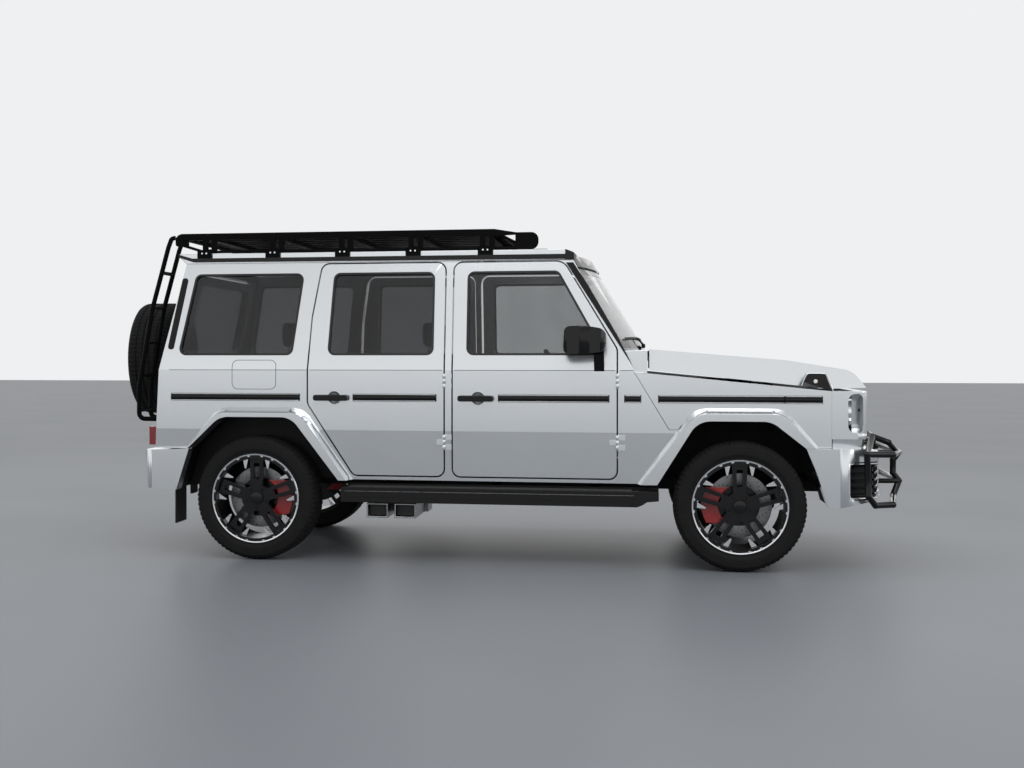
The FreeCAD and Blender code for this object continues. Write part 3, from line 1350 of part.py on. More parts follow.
RIM = [("bead_r - slit - barrel_t", "-bead_half_w - flange_t"), ("flange_r", "-bead_half_w - flange_t"),
       ("flange_r", "-bead_half_w - slit"), ("bead_r - slit", "-bead_half_w - slit"),
       ("bead_r - slit", "bead_half_w + slit"), ("flange_r", "bead_half_w + slit"),
       ("flange_r", "bead_half_w + flange_t"), ("bead_r - slit - barrel_t", "bead_half_w + flange_t")]


CORNERS = {"front_right": ("wheelbase / 2", -1), "front_left": ("wheelbase / 2", 1),
           "rear_right": ("-wheelbase / 2", -1), "rear_left": ("-wheelbase / 2", 1)}


def spoke_wheel(name, x, y, z, side):
    """Rim, spokes and hub as one piece."""
    barrel = turned(name + "_barrel", x, y, z, RIM)
    start = f"{y} + {side} * (spoke_face_y - spoke_t)" if side > 0 else f"{y} - spoke_face_y"
    hub = rod(name + "_hub", "y", (x, start, z), "hub_r", "spoke_t")
    pieces = [barrel, hub]
    count = int(number("spoke_count"))
    rim = "bead_r - barrel_t - 3"
    blade = [("-spoke_root_w / 2", "hub_r - 25"), ("spoke_root_w / 2", "hub_r - 25"),
             ("spoke_tip_w / 2", rim), ("-spoke_tip_w / 2", rim)]
    slot = [("-slot_w / 2", "slot_low_r", "slot_w / 4"), ("slot_w / 2", "slot_low_r", "slot_w / 4"),
            ("slot_w / 2 + 2", "slot_top_r", "slot_w / 4"), ("-slot_w / 2 - 2", "slot_top_r", "slot_w / 4")]

    def plate(key, i, corners, from_y, length):
        flat = doc.addObject("Sketcher::SketchObject", f"{name}_{key}_outline_{i}")
        draw(flat, corners)
        flat.Placement = FreeCAD.Placement(V(), FreeCAD.Rotation(V(0, 1, 0), 360 / count * i)
                                           * FreeCAD.Rotation(V(1, 0, 0), 90))
        place(flat, x, from_y, z)
        return extrude(f"{name}_{key}_{i}", flat, "side", length)
    blades = [plate("blade", i, blade, start, "spoke_t") for i in range(count)]
    slots = [plate("slot", i, slot, f"{start} - 5", "spoke_t + 10") for i in range(count)]
    pieces.append(cut(name + "_spokes", fuse(name + "_blades", *blades), *slots))
    return pieces


def wheels():
    for corner, (x, side) in CORNERS.items():
        y = f"{side} * track / 2"
        sub_part("tyre_" + corner, turned("tyre_" + corner, x, y, "tyre_r", TYRE))
        pieces = spoke_wheel("rim_" + corner, x, y, "tyre_r", side)
        inner = f"{y} + disc_y - disc_t" if side > 0 else f"{y} - disc_y"
        disc = rod(f"disc_{corner}", "y", (x, inner, "tyre_r"), "disc_r", "disc_t")
        start = f"{y} + disc_y - disc_t" if side > 0 else f"{y} - spoke_face_y + 2"
        bell = rod(f"bell_{corner}", "y", (x, start, "tyre_r"), "hub_r - 10",
                   "spoke_face_y + disc_t - disc_y - 2")
        sub_part("wheel_" + corner, fuse("wheel_" + corner, *pieces, disc, bell))


def spare_wheel():
    body = turned("spare_tyre", 0, 0, 0, TYRE)
    body.Placement = FreeCAD.Placement(V(), FreeCAD.Rotation(V(0, 0, 1), 90))
    place(body, "spare_face_x + tyre_half_w", 0, "spare_z")
    sub_part("spare_tyre", body)
    plate = rod("spare_plate", "x", ("spare_face_x + 12", 0, "spare_z"), "bead_r - slit", "60")
    stalk = rod("spare_stalk", "x", ("spare_face_x + 40", 0, "spare_z"), "spare_stalk_r",
                "rear_waist_x - spare_face_x - 100")
    foot = prism("spare_foot", "side",
                 [("rear_waist_x - 90", "spare_foot_low_z"), ("rear_waist_x - 90", "gwin_low_z - 14"),
                  ("rear_waist_x + (gwin_low_z - 14 - crease_z) * (rear_top_x - rear_waist_x)"
                   " / (gutter_z - crease_z) - slit", "gwin_low_z - 14"),
                  ("rear_waist_x - slit", "crease_z"),
                  ("rear_waist_x + (spare_foot_low_z - crease_z) * (rear_waist_x - rear_low_x)"
                   " / (crease_z - rear_low_z) - slit", "spare_foot_low_z")],
                 "-spare_foot_half", "spare_foot_half")
    handle = pipe("spare_hoop", "side", 0,
                  [("spare_face_x + 30", "spare_z + handle_half_h - handle_r"),
                   ("-rear_reach + handle_r", "spare_z + handle_half_h - handle_r", 70),
                   ("-rear_reach + handle_r", "spare_z - handle_half_h + handle_r", 70),
                   ("spare_face_x + 30", "spare_z - handle_half_h + handle_r")], "handle_r")
    sub_part("spare_carrier", fuse("spare_carrier", plate, stalk, foot, handle))


# Chassis

def hitch_plate():
    """Plate under the rear bumper with four holes for a flanged tow ball."""
    arm = box("hitch_arm", ("hitch_x", "cross_1 + cross_half"), ("-hitch_half", "hitch_half"),
              ("rail_low_z - hitch_drop - hitch_arm_h", "rail_low_z - hitch_drop"))
    neck = box("hitch_neck", ("cross_1 - cross_half", "cross_1 + cross_half"), ("-hitch_half", "hitch_half"),
               ("rail_low_z - hitch_drop - 1", "rail_low_z + cross_inset + 1"))
    plate = box("hitch_plate_blank", ("hitch_x", "hitch_x + hitch_t"), ("-hitch_half", "hitch_half"),
                ("rail_low_z - hitch_h", "rail_low_z - hitch_drop"))
    holes = [rod(f"hitch_hole_{i}", "x", ("hitch_x - 5", f"{y} * hitch_pitch_y / 2",
                                          f"rail_low_z - hitch_h + hitch_edge + {z} * hitch_pitch_z"),
                 "hitch_hole_r", "hitch_t + 10")
             for i, (y, z) in enumerate(((-1, 0), (1, 0), (1, 1), (-1, 1)))]
    return fuse("hitch", arm, neck, cut("hitch_plate_drilled", plate, *holes))


def chassis():
    rail = box("chassis_rail", ("rbump_in_x + slit", "fbump_front_x - fbump_wall - slit"),
               ("-rail_y - rail_w / 2", "-rail_y + rail_w / 2"), ("rail_low_z", "rail_low_z + rail_h"))
    beams = [box(f"cross_member_{i}", (f"cross_{i} - cross_half", f"cross_{i} + cross_half"),
                 ("-rail_y", "rail_y"),
                 ("rail_low_z + cross_inset", "rail_low_z + rail_h - cross_inset")) for i in range(1, 6)]
    mounts = [rod(f"body_mount_{i}", "z", (f"cross_{i}", "-rail_y", "rail_low_z + rail_h - 1"), "mount_r",
                  "shell_low - slit - (rail_low_z + rail_h - 1)") for i in range(1, 5)]
    bracket = box("engine_bracket", ("engine_x - 90", "engine_x + 30"),
                  ("-rail_y", "-engine_w / 2 - slit"), ("rail_low_z + rail_h - 1", "engine_low_z + 80"))
    side = fuse("chassis_side", rail, *mounts, bracket)
    hitch = hitch_plate()
    sub_part("chassis_frame", fuse("chassis_frame", side, mirrored("chassis_side_left", side), *beams, hitch))


HUB_FACE = "track / 2 - disc_t + disc_y - slit"


def rear_axle():
    tube = rod("rear_axle_tube", "y", ("-wheelbase / 2", f"-({HUB_FACE})", "tyre_r"), "axle_tube_r",
               f"2 * ({HUB_FACE})")
    case = doc.addObject("Part::Sphere", "rear_diff")
    place(case, "-wheelbase / 2", 0, "tyre_r")
    bind(case, "Radius", "diff_r")
    springs = [rod(f"rear_spring_{side}", "z", ("-wheelbase / 2", f"{side} * spring_seat_y", "tyre_r"),
                   "spring_r", "shell_low - slit - tyre_r") for side in (-1, 1)]
    carrier = box("rear_caliper_carrier", ("-wheelbase / 2", "-wheelbase / 2 + caliper_out_r - 8"),
                  ("-track / 2 - disc_y + disc_t + caliper_over + slit", "-kingpin_y - 5"),
                  ("tyre_r - 40", "tyre_r + 40"))
    sub_part("rear_axle", fuse("rear_axle", tube, case, carrier,
                               mirrored("rear_caliper_carrier_left", carrier), *springs))
    sub_part("rear_calipers", both_sides("rear_calipers", caliper("rear_caliper", "-wheelbase / 2", 0)))


def caliper(name, x, turn):
    """A block astride the brake disc, in front of the axle or behind it."""
    y = "-track / 2"
    block = box(name + "_block", (f"{x} - caliper_out_r", f"{x} + caliper_out_r"),
                (f"{y} - disc_y - caliper_over", f"{y} - disc_y + disc_t + caliper_over"),
                ("tyre_r - caliper_h / 2", "tyre_r + caliper_h / 2"))
    ring = rod(name + "_ring", "y", (x, f"{y} - disc_y - caliper_over - 5", "tyre_r"), "caliper_out_r", 200)
    core = rod(name + "_core", "y", (x, f"{y} - disc_y - caliper_over - 9", "tyre_r"), "caliper_in_r", 220)
    room = rod(name + "_room", "y", (x, f"{y} - disc_y - 3", "tyre_r"), "disc_r + 4", "disc_t + 6")
    half = box(name + "_half", (x, f"{x} + caliper_out_r + 20") if turn == 0 else
               (f"{x} - caliper_out_r - 20", x), (f"{y} - 100", f"{y} + 100"), ("0", "2 * tyre_r"))
    return cut(name, common(name + "_shape", block, ring, half), core, room)


def front_axle():
    post = box("front_post", ("wheelbase / 2 - arm_half_x", "wheelbase / 2 + arm_half_x"),
               ("-rail_y - rail_w / 2", "-rail_y + rail_w / 2"), ("arm_low_z", "rail_low_z - slit"))
    beam = box("front_beam", ("wheelbase / 2 - arm_half_x", "wheelbase / 2 + arm_half_x"),
               ("-rail_y - rail_w / 2", "rail_y + rail_w / 2"), ("arm_low_z", "arm_low_z + 50"))
    wishbone = [("wheelbase / 2 - arm_half_x", "-rail_y - rail_w / 2 + 1"),
                ("wheelbase / 2 - pin_r", "-kingpin_y"), ("wheelbase / 2", "-kingpin_y - pin_r"),
                ("wheelbase / 2 + pin_r", "-kingpin_y"),
                ("wheelbase / 2 + arm_half_x", "-rail_y - rail_w / 2 + 1")]
    low = prism("wishbone_low", "top", wishbone, "arm_low_z", "tyre_r - pin_half - slit")
    tower = box("front_tower", ("wheelbase / 2 - arm_half_x", "wheelbase / 2 + arm_half_x"),
                ("-rail_y - rail_w / 2", "-rail_y + rail_w / 2"),
                ("rail_low_z + rail_h + slit", "tyre_r + pin_half + slit + 24"))
    high = prism("wishbone_high", "top", wishbone, "tyre_r + pin_half + slit",
                 "tyre_r + pin_half + slit + 24")
    lower = fuse("front_lower", post, low)
    upper = fuse("front_upper", tower, high)
    bottom = fuse("front_bottom", lower, mirrored("front_lower_left", lower), beam)
    sub_part("front_suspension", together("front_suspension", bottom, upper,
                                          mirrored("front_upper_left", upper)))
    pin = rod("kingpin", "z", ("wheelbase / 2", "-kingpin_y", "tyre_r - pin_half"), "pin_r", "2 * pin_half")
    stub = rod("stub_axle", "y", ("wheelbase / 2", f"-({HUB_FACE})", "tyre_r"), "stub_r",
               f"{HUB_FACE} - kingpin_y + 20")
    arm = box("caliper_arm", ("wheelbase / 2 - caliper_out_r + 8", "wheelbase / 2"),
              ("-kingpin_y - 30", "-kingpin_y + 4"), ("tyre_r - 40", "tyre_r + 40"))
    lug = box("caliper_lug", ("wheelbase / 2 - caliper_out_r + 8", "wheelbase / 2 - caliper_in_r - 8"),
              ("-track / 2 - disc_y + disc_t + caliper_over + slit", "-kingpin_y - 10"),
              ("tyre_r - 40", "tyre_r + 40"))
    knuckle = fuse("knuckle_right", pin, stub, arm, lug)
    front_caliper = caliper("caliper_front_right", "wheelbase / 2", 180)
    sub_part("knuckle_right", knuckle)
    sub_part("knuckle_left", mirrored("knuckle_left", knuckle))
    sub_part("caliper_front_right", front_caliper)
    sub_part("caliper_front_left", mirrored("caliper_front_left", front_caliper))


def engine():
    sub_part("engine_block", box("engine_block", ("engine_x - engine_len / 2", "engine_x + engine_len / 2"),
                                 ("-engine_w / 2", "engine_w / 2"),
                                 ("engine_low_z", "engine_low_z + engine_h")))


def seats():
    def seat(name, x, y, width, heads):
        rear = f"{x} - seat_depth"
        top = "seat_z + seat_h + seat_back_h"
        shoulder = f"{top} - rest_h - rest_gap"
        pad = prism(name + "_pad", "side",
                    [(f"{rear} + 60", "seat_z"), (f"{x} - 25", "seat_z", "seat_h / 4"),
                     (x, "seat_z + seat_h", "seat_h / 3"), (f"{rear} + 60", "seat_z + seat_h - 22", 30)],
                    f"{y} - {width} / 2", f"{y} + {width} / 2")
        back = prism(name + "_back_side", "side",
                     [(rear, "seat_z + 30", 40), (f"{rear} + seat_back_t", "seat_z + 30", 30),
                      (f"{rear} + seat_back_t - seat_lean", shoulder, 40),
                      (f"{rear} + 40 - seat_lean", shoulder, 30)],
                     f"{y} - {width} / 2", f"{y} + {width} / 2")
        shape = prism(name + "_back_front", "front",
                      [(f"{y} - {width} / 2", "seat_z"), (f"{y} + {width} / 2", "seat_z"),
                       (f"{y} + {width} / 2 - 24", shoulder, "shoulder_r_seat"),
                       (f"{y} - {width} / 2 + 24", shoulder, "shoulder_r_seat")],
                      f"{rear} - seat_lean - 20", x)
        base = box(name + "_base", (f"{rear} + 60", f"{x} - 60"),
                   (f"{y} - {width} / 2 + 60", f"{y} + {width} / 2 - 60"),
                   ("shell_low + floor_t", "seat_z + 10"))
        pieces = [pad, common(name + "_back", back, shape), base]
        for i, head in enumerate(heads):
            middle = f"{y} + {head}"
            front = f"{rear} + seat_back_t - seat_lean - 14"
            pieces.append(prism(f"{name}_rest_{i}", "side",
                                [(f"{front} - rest_t", f"{top} - rest_h", 30), (front, f"{top} - rest_h", 30),
                                 (f"{front} - 10", top, 36), (f"{front} - rest_t - 4", top, 30)],
                                f"{middle} - rest_w / 2", f"{middle} + rest_w / 2"))
            for j in (-1, 1):
                pieces.append(rod(f"{name}_rest_rod_{i}_{j}", "z",
                                  (f"{front} - rest_t / 2 - 4", f"{middle} + {j} * rest_w / 4",
                                   f"{shoulder} - 40"),
                                  "rest_rod_r", "rest_gap + 60"))
        return fuse(name, *pieces)
    sub_part("seats", together("seats", seat("seat_right", "seat_front_x", "-seat_y", "seat_w", ("0",)),
                               seat("seat_left", "seat_front_x", "seat_y", "seat_w", ("0",)),
                               seat("bench", "bench_x", "0", "bench_w",
                                    ("-bench_rest_y", "0", "bench_rest_y"))))


def dashboard():
    rear = "bulkhead_x - bulkhead_t"
    face = f"{rear} - dash_depth"
    panel = prism("dash_panel", "side",
                  [(f"{rear} - dash_depth / 3", "dash_low_z"), (rear, "dash_low_z"),
                   (rear, "dash_top_z + dash_rise"),
                   (f"{rear} - dash_depth / 2", "dash_top_z + dash_rise", 50),
                   (f"{face} + 40", "dash_top_z", 40),
                   (face, "dash_top_z - 60", 24), (f"{face} + 26", "dash_top_z - 150", 40)],
                  "-dash_half", "dash_half")
    console = box("console", ("console_back_x", f"{rear} - dash_depth / 3 + 10"),
                  ("-console_half", "console_half"),
                  ("shell_low + floor_t", "console_z"))
    riser = prism("console_riser", "side",
                  [(f"{face} + 40", "console_z - 10"), (f"{rear} - 30", "console_z - 10"),
                   (f"{rear} - 30", "dash_low_z + 60"), (f"{face} + 60", "dash_low_z + 60")],
                  "-console_half", "console_half")
    rim = doc.addObject("Part::Torus", "steering_wheel_rim")
    rim.Placement = FreeCAD.Placement(V(), FreeCAD.Rotation(V(0, 1, 0), -10))
    place(rim, "wheel_x", "seat_y", "wheel_z")
    bind(rim, "Placement.Rotation.Angle", "wheel_tilt")
    bind(rim, "Radius1", "wheel_rim_r")
    bind(rim, "Radius2", "wheel_rim_t")
    column = doc.addObject("Part::Cylinder", "steering_column")
    column.Placement = FreeCAD.Placement(V(), FreeCAD.Rotation(V(0, 1, 0), 10))
    place(column, "wheel_x - 6", "seat_y", "wheel_z + 3")
    bind(column, "Placement.Rotation.Angle", "180 - wheel_tilt")
    bind(column, "Radius", "column_r")
    bind(column, "Height", "(bulkhead_x - bulkhead_t - dash_depth - wheel_x + 110) / sin(wheel_tilt * 1 deg)")
    spokes = [rod("steering_spokes", "y", ("wheel_x", "seat_y - wheel_rim_r", "wheel_z"), "wheel_rim_t",
                  "2 * wheel_rim_r")]
    sub_part("dashboard", fuse("dashboard", panel, console, riser, rim, column, *spokes))


def arch_liners():
    """Shells over the wheels, inside the arches, and the flaps behind the rear wheels."""
    pieces = []
    for key, corners, low, high in (("front", ARCH_FRONT, "-wing_in_half + slit", "-liner_f_in_y"),
                                    ("rear", ARCH_REAR[1:], "-body_half + wall + slit",
                                     "-floor_narrow_half - slit")):
        flat = outline(key + "_liner_line", "side", low, corners)
        outer = extrude(key + "_liner_outer", grown(key + "_liner_out", flat, "liner_off + liner_t"), "side",
                        f"({high}) - ({low})")
        length = f"({high}) - ({low})" + (" - liner_t" if key == "rear" else " + 10")
        inner = extrude(key + "_liner_inner", grown(key + "_liner_in", flat, "liner_off"), "side", length)
        way = 1 if key == "front" else -1
        (start_x, start_z), (end_x, end_z) = corners[0][:2], corners[-1][:2]
        below = prism(key + "_liner_below", "side",
                      [(f"{start_x} - 60 * {way}", start_z), (f"{start_x} - 60 * {way}", f"{start_z} - 90"),
                       (f"{end_x} + 60 * {way}", f"{end_z} - 90"), (f"{end_x} + 60 * {way}", end_z)],
                      f"({low}) - 10", f"({high}) + 20")
        pieces.append(cut(key + "_liner", outer, inner, below))
    flap = box("mud_flap", ("flap_x - flap_t", "flap_x"), ("-flap_out_y", "-flap_in_y"),
               ("flap_low_z", "flap_top_z"))
    right = together("arch_liner_right", *pieces, flap)
    sub_part("arch_liners", both_sides("arch_liners", right))


def running_boards():
    board = box("running_board", ("step_back_x", "step_front_x"), ("-step_out_y", "-step_in_y"),
                ("step_low_z", "step_top_z"))
    arms = [box(f"step_arm_{i}", (f"{x} - 30", f"{x} + 30"), ("-step_in_y - 10", "-rail_y - rail_w / 2"),
                ("rail_low_z + 5", "step_top_z - 2")) for i, x in enumerate(("-step_arm_x", "0",
                                                                             "step_arm_x"))]
    sub_part("running_boards", both_sides("running_boards", fuse("running_board_right", board, *arms)))


def exhaust():
    tips = []
    for i, way in enumerate((-1, 1)):
        outer = box(f"tip_outer_{i}", (f"pipe_x + {way} * pipe_pitch / 2 - pipe_w / 2",
                                       f"pipe_x + {way} * pipe_pitch / 2 + pipe_w / 2"),
                    ("-pipe_out_y", "-pipe_in_y"), ("pipe_low_z", "pipe_low_z + pipe_h"))
        bore = box(f"tip_bore_{i}", (f"pipe_x + {way} * pipe_pitch / 2 - pipe_w / 2 + tip_wall",
                                     f"pipe_x + {way} * pipe_pitch / 2 + pipe_w / 2 - tip_wall"),
                   ("-pipe_out_y - 5", "-pipe_out_y + tip_deep"),
                   ("pipe_low_z + tip_wall", "pipe_low_z + pipe_h - tip_wall"))
        tips.append(cut(f"tip_{i}", outer, bore))
    hanger = box("exhaust_hanger", ("pipe_x - pipe_pitch", "pipe_x + pipe_pitch"),
                 ("-pipe_in_y - 60", "-rail_y"),
                 ("pipe_low_z", "rail_low_z - slit"))
    sub_part("exhaust", both_sides("exhaust", fuse("exhaust_right", *tips, hanger)))


def roof_rack():
    half = "rack_beam_w / 2"
    beam = box("rack_beam", ("rack_back_x + rack_cheek / 2", "rack_post_5 + rack_post_w / 2"),
               (f"-rack_y - {half}", f"-rack_y + {half}"), ("rack_top_z - rack_beam_h", "rack_top_z"))
    slope = prism("rack_slope", "side",
                  [("rack_post_5 + rack_post_w / 2 - 2", "rack_top_z - rack_beam_h"),
                   ("rack_post_5 + rack_post_w / 2 - 2", "rack_top_z"), ("rack_plate_x + 2", "rack_nose_z"),
                   ("rack_plate_x + 2", "rack_nose_z - 14")], f"-rack_y - {half}", f"-rack_y + {half}")
    nose_plate = prism("rack_nose_plate", "side",
                       [("rack_plate_x", "rack_low_z"), ("rack_front_x", "rack_low_z", "rack_cheek / 2"),
                        ("rack_front_x", "rack_nose_z", "rack_cheek / 2"), ("rack_plate_x", "rack_nose_z")],
                       "-rack_y - rack_plate_t", "-rack_y + rack_plate_t")
    tail_plate = prism("rack_tail_plate", "side",
                       [("rack_back_x", "rack_tail_z", "rack_cheek / 5"),
                        ("rack_back_x + rack_cheek", "rack_tail_z"),
                        ("rack_back_x + rack_cheek", "rack_top_z"),
                        ("rack_back_x", "rack_top_z", "rack_cheek / 2")],
                       "-rack_y - rack_plate_t", "-rack_y + rack_plate_t")
    low_rail = rod("rack_low_rail", "x", ("rack_post_1 - rack_post_w / 2", "-rack_y",
                                          "rack_low_z + rack_rail_r"),
                   "rack_rail_r", "rack_plate_x + 10 - rack_post_1 + rack_post_w / 2")
    tail_stay = strut("rack_tail_stay", ("rack_back_x + rack_cheek / 2", "-rack_y", "rack_tail_z + 8"),
                      ("rack_post_1 - rack_post_w / 2 + 8", "-rack_y", "rack_low_z + rack_rail_r"),
                      "rack_rail_r")
    nose_stay = strut("rack_nose_stay", ("rack_post_5 + rack_post_w / 2 - 4", "-rack_y",
                                         "rack_top_z - rack_beam_h / 2"),
                      ("rack_plate_x + 6", "-rack_y", "rack_low_z + 40"), "rack_rail_r")
    posts = []
    for i in range(1, 6):
        span = (f"rack_post_{i} - rack_post_w / 2", f"rack_post_{i} + rack_post_w / 2")
        post = box(f"rack_post_{i}", span, ("-rack_y - rack_post_t / 2", "-rack_y + rack_post_t / 2"),
                   ("rack_low_z", "rack_top_z - 2"))
        gap = box(f"rack_post_gap_{i}", (f"rack_post_{i} - rack_gap_w / 2",
                                         f"rack_post_{i} + rack_gap_w / 2"),
                  ("-rack_y - rack_post_t", "-rack_y + rack_post_t"),
                  ("rack_low_z + 26", "rack_top_z - rack_beam_h - 4"))
        posts.append(cut(f"rack_post_frame_{i}", post, gap))
        posts.append(box(f"rack_shelf_{i}", span, ("-gutter_half - gutter_out + 2", "-rack_y"),
                         ("rack_low_z", "rack_low_z + rack_foot_t")))
        posts.append(box(f"rack_foot_{i}", span, ("-gutter_half - gutter_out + 2", "-gutter_half - 2"),
                         ("gutter_z + gutter_h + slit", "rack_low_z + rack_foot_t")))
    side = fuse("rack_side", beam, slope, nose_plate, tail_plate, low_rail, tail_stay, nose_stay, *posts)
    beams = [box(f"rack_cross_{i}", (f"rack_post_{i} - rack_beam_w", f"rack_post_{i} + rack_beam_w"),
                 ("-rack_y", "rack_y"), ("rack_top_z - rack_beam_h", "rack_deck_z - rack_slat_t + 1"))
             for i in range(1, 6)]
    tail = rod("rack_tail_tube", "y", ("rack_back_x + rack_cheek / 2", "-rack_y", "rack_top_z - rack_tube"),
               "rack_tube / 2", "2 * rack_y")
    shield = prism("rack_shield", "side",
                   [("rack_post_5 + rack_post_w / 2 - 6", "rack_top_z - 12"),
                    ("rack_post_5 + rack_post_w / 2 - 6", "rack_top_z - 4"),
                    ("rack_plate_x + 6", "rack_low_z + 48"),
                    ("rack_plate_x", "rack_low_z + 40")], "-rack_y", "rack_y")
    count = int(number("rack_planks"))
    pitch = f"2 * (rack_y - rack_beam_w - rack_slat_w / 2) / {count - 1}"
    planks = [box(f"rack_plank_{i}", ("rack_back_x + rack_cheek / 3", "rack_post_5 + rack_post_w / 2"),
                  (f"({i} - {(count - 1) // 2}) * {pitch} - rack_slat_w / 2",
                   f"({i} - {(count - 1) // 2}) * {pitch} + rack_slat_w / 2"),
                  ("rack_deck_z - rack_slat_t", "rack_deck_z")) for i in range(count)]
    sub_part("roof_rack", fuse("roof_rack", side, mirrored("rack_side_left", side), tail, shield, *beams,
                               *planks))


body_side()
doors()
mirrors()
roof()
floor()
rear_wall()
fixed_glass()
bonnet()
front_wings()
nose()
front_bumper()
bull_bar()
rear_bumper()
ladder()
wheels()
spare_wheel()
chassis()
rear_axle()
front_axle()
engine()
seats()
dashboard()
arch_liners()
running_boards()
exhaust()
roof_rack()
doc.recompute()


# Checks and output

for obj in doc.Objects:
    if "Invalid" in obj.State or "Error" in obj.State:
        raise RuntimeError(f"{obj.Name} failed: {obj.State}")

os.makedirs("parts", exist_ok=True)
for label, obj in nodes.items():
    shape = obj.Shape
    if shape.isNull() or not shape.isValid() or not shape.Solids:
        raise RuntimeError(f"{label} has no valid solid")
    print(f"{label:24s} solids {len(shape.Solids):2d} volume {shape.Volume / 1e6:10.2f} l")
    shape.exportStep(f"parts/{label}.step")
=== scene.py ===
# Looks of the lifted off-road 4x4: finishes, trim, tyres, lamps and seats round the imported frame.
# Lengths are metres in the frame's own axes: X forward, Y to the left, Z up from the ground.
import json
import math
import random

import bmesh
import bpy
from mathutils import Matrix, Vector
from mathutils.bvhtree import BVHTree


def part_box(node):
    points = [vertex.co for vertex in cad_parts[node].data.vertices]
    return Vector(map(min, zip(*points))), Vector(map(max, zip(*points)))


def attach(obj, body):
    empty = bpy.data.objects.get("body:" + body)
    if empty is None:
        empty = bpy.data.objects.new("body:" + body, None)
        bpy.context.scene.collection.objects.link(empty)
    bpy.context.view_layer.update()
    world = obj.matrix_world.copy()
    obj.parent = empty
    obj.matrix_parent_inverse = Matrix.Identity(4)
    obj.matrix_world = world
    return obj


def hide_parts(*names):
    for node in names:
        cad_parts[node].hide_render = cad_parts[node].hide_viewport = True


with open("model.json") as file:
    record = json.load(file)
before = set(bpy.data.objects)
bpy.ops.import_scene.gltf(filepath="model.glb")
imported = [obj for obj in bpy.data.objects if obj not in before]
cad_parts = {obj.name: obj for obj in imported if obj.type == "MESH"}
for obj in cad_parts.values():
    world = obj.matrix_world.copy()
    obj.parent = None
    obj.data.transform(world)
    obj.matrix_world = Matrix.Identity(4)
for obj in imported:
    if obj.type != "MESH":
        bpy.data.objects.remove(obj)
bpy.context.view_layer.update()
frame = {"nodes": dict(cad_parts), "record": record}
random.seed(4)


# Places read from the frame

def middle_of(node):
    low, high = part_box(node)
    return (low + high) / 2


SIGNS = {"right": -1, "left": 1}
CORNERS = {f"{end}_{side}": middle_of(f"tyre_{end}_{side}") for end in ("front", "rear") for side in SIGNS}
OUTWARD = {corner: SIGNS[corner.split("_")[1]] for corner in CORNERS}
MID_X = (CORNERS["front_right"].x + CORNERS["rear_right"].x) / 2
TYRE_R = CORNERS["front_right"].z

BODY_HALF = 0.885
CREASE_Z = 1.165
LOWER_CREASE_Z = 0.798
GUTTER_HALF = 0.785
GUTTER_Z = 1.830
LEAN = (BODY_HALF - GUTTER_HALF) / (GUTTER_Z - CREASE_Z)
TUCK_LEAN = 0.014 / 0.300


def along(x_mm):
    """An X measured in millimetres from the middle of the wheelbase, in the frame."""
    return MID_X + x_mm / 1000


def skin(x, z, out=0.0):
    """A point on the right side's skin, or a little outside it."""
    if z <= CREASE_Z:
        fall = max(0.0, LOWER_CREASE_Z - z) * TUCK_LEAN
        return Vector((x, -BODY_HALF + fall - out, z))
    tilt = math.atan(LEAN)
    y = -BODY_HALF + (z - CREASE_Z) * LEAN
    return Vector((x, y - out * math.cos(tilt), z + out * math.sin(tilt)))


def upright(y):
    """A plane that faces sideways: u forward, v up, height towards the left."""
    return lambda u, v, h: Vector((u, y + h, v))


def facing(x, way=1):
    """A plane that faces forward, or backward with way -1: u to the left, v up."""
    return lambda u, v, h: Vector((x + way * h, u, v))


# Materials

def put(node, values):
    """Sets a node's own sockets by name."""
    for name, value in values.items():
        node.inputs[name].default_value = value


def shader(name, values):
    """A new material with its tree and its main node, whose sockets get the values."""
    made = bpy.data.materials.new(name)
    made.use_nodes = True
    tree = made.node_tree
    principled = tree.nodes["Principled BSDF"]
    put(principled, values)
    return made, tree, principled


def noise(tree, scale, detail=4.0, kind="ShaderNodeTexNoise", output="Fac"):
    """A noise's output, fixed to the object."""
    place = tree.nodes.new("ShaderNodeTexCoord")
    cells = tree.nodes.new(kind)
    cells.inputs["Scale"].default_value = scale
    if "Detail" in cells.inputs:
        cells.inputs["Detail"].default_value = detail
    tree.links.new(place.outputs["Object"], cells.inputs["Vector"])
    return cells.outputs[output]


def coordinate(tree, axis, space="Object"):
    place = tree.nodes.new("ShaderNodeTexCoord")
    split = tree.nodes.new("ShaderNodeSeparateXYZ")
    tree.links.new(place.outputs[space], split.inputs["Vector"])
    return split.outputs[axis]


def ranged(tree, source, values):
    spread = tree.nodes.new("ShaderNodeMapRange")
    put(spread, values)
    tree.links.new(source, spread.inputs["Value"])
    return spread.outputs["Result"]


def colours(tree, source, stops, target):
    """Leads a source through a ramp of (position, colour) stops to a colour socket."""
    ramp = tree.nodes.new("ShaderNodeValToRGB")
    elements = ramp.color_ramp.elements
    for element, (position, colour) in zip(elements, (stops[0], stops[-1])):
        element.position = position
        element.color = (*colour, 1)
    for position, colour in stops[1:-1]:
        elements.new(position).color = (*colour, 1)
    tree.links.new(source, ramp.inputs["Fac"])
    tree.links.new(ramp.outputs["Color"], target)


def vary_colour(tree, principled, source, low, high):
    colours(tree, source, ((0.3, low), (0.7, high)), principled.inputs["Base Color"])


def vary_roughness(tree, principled, source, low, high):
    tree.links.new(ranged(tree, source, {"To Min": low, "To Max": high}), principled.inputs["Roughness"])


def bump(tree, principled, source, strength, distance):
    node = tree.nodes.new("ShaderNodeBump")
    put(node, {"Strength": strength, "Distance": distance})
    tree.links.new(source, node.inputs["Height"])
    tree.links.new(node.outputs["Normal"], principled.inputs["Normal"])


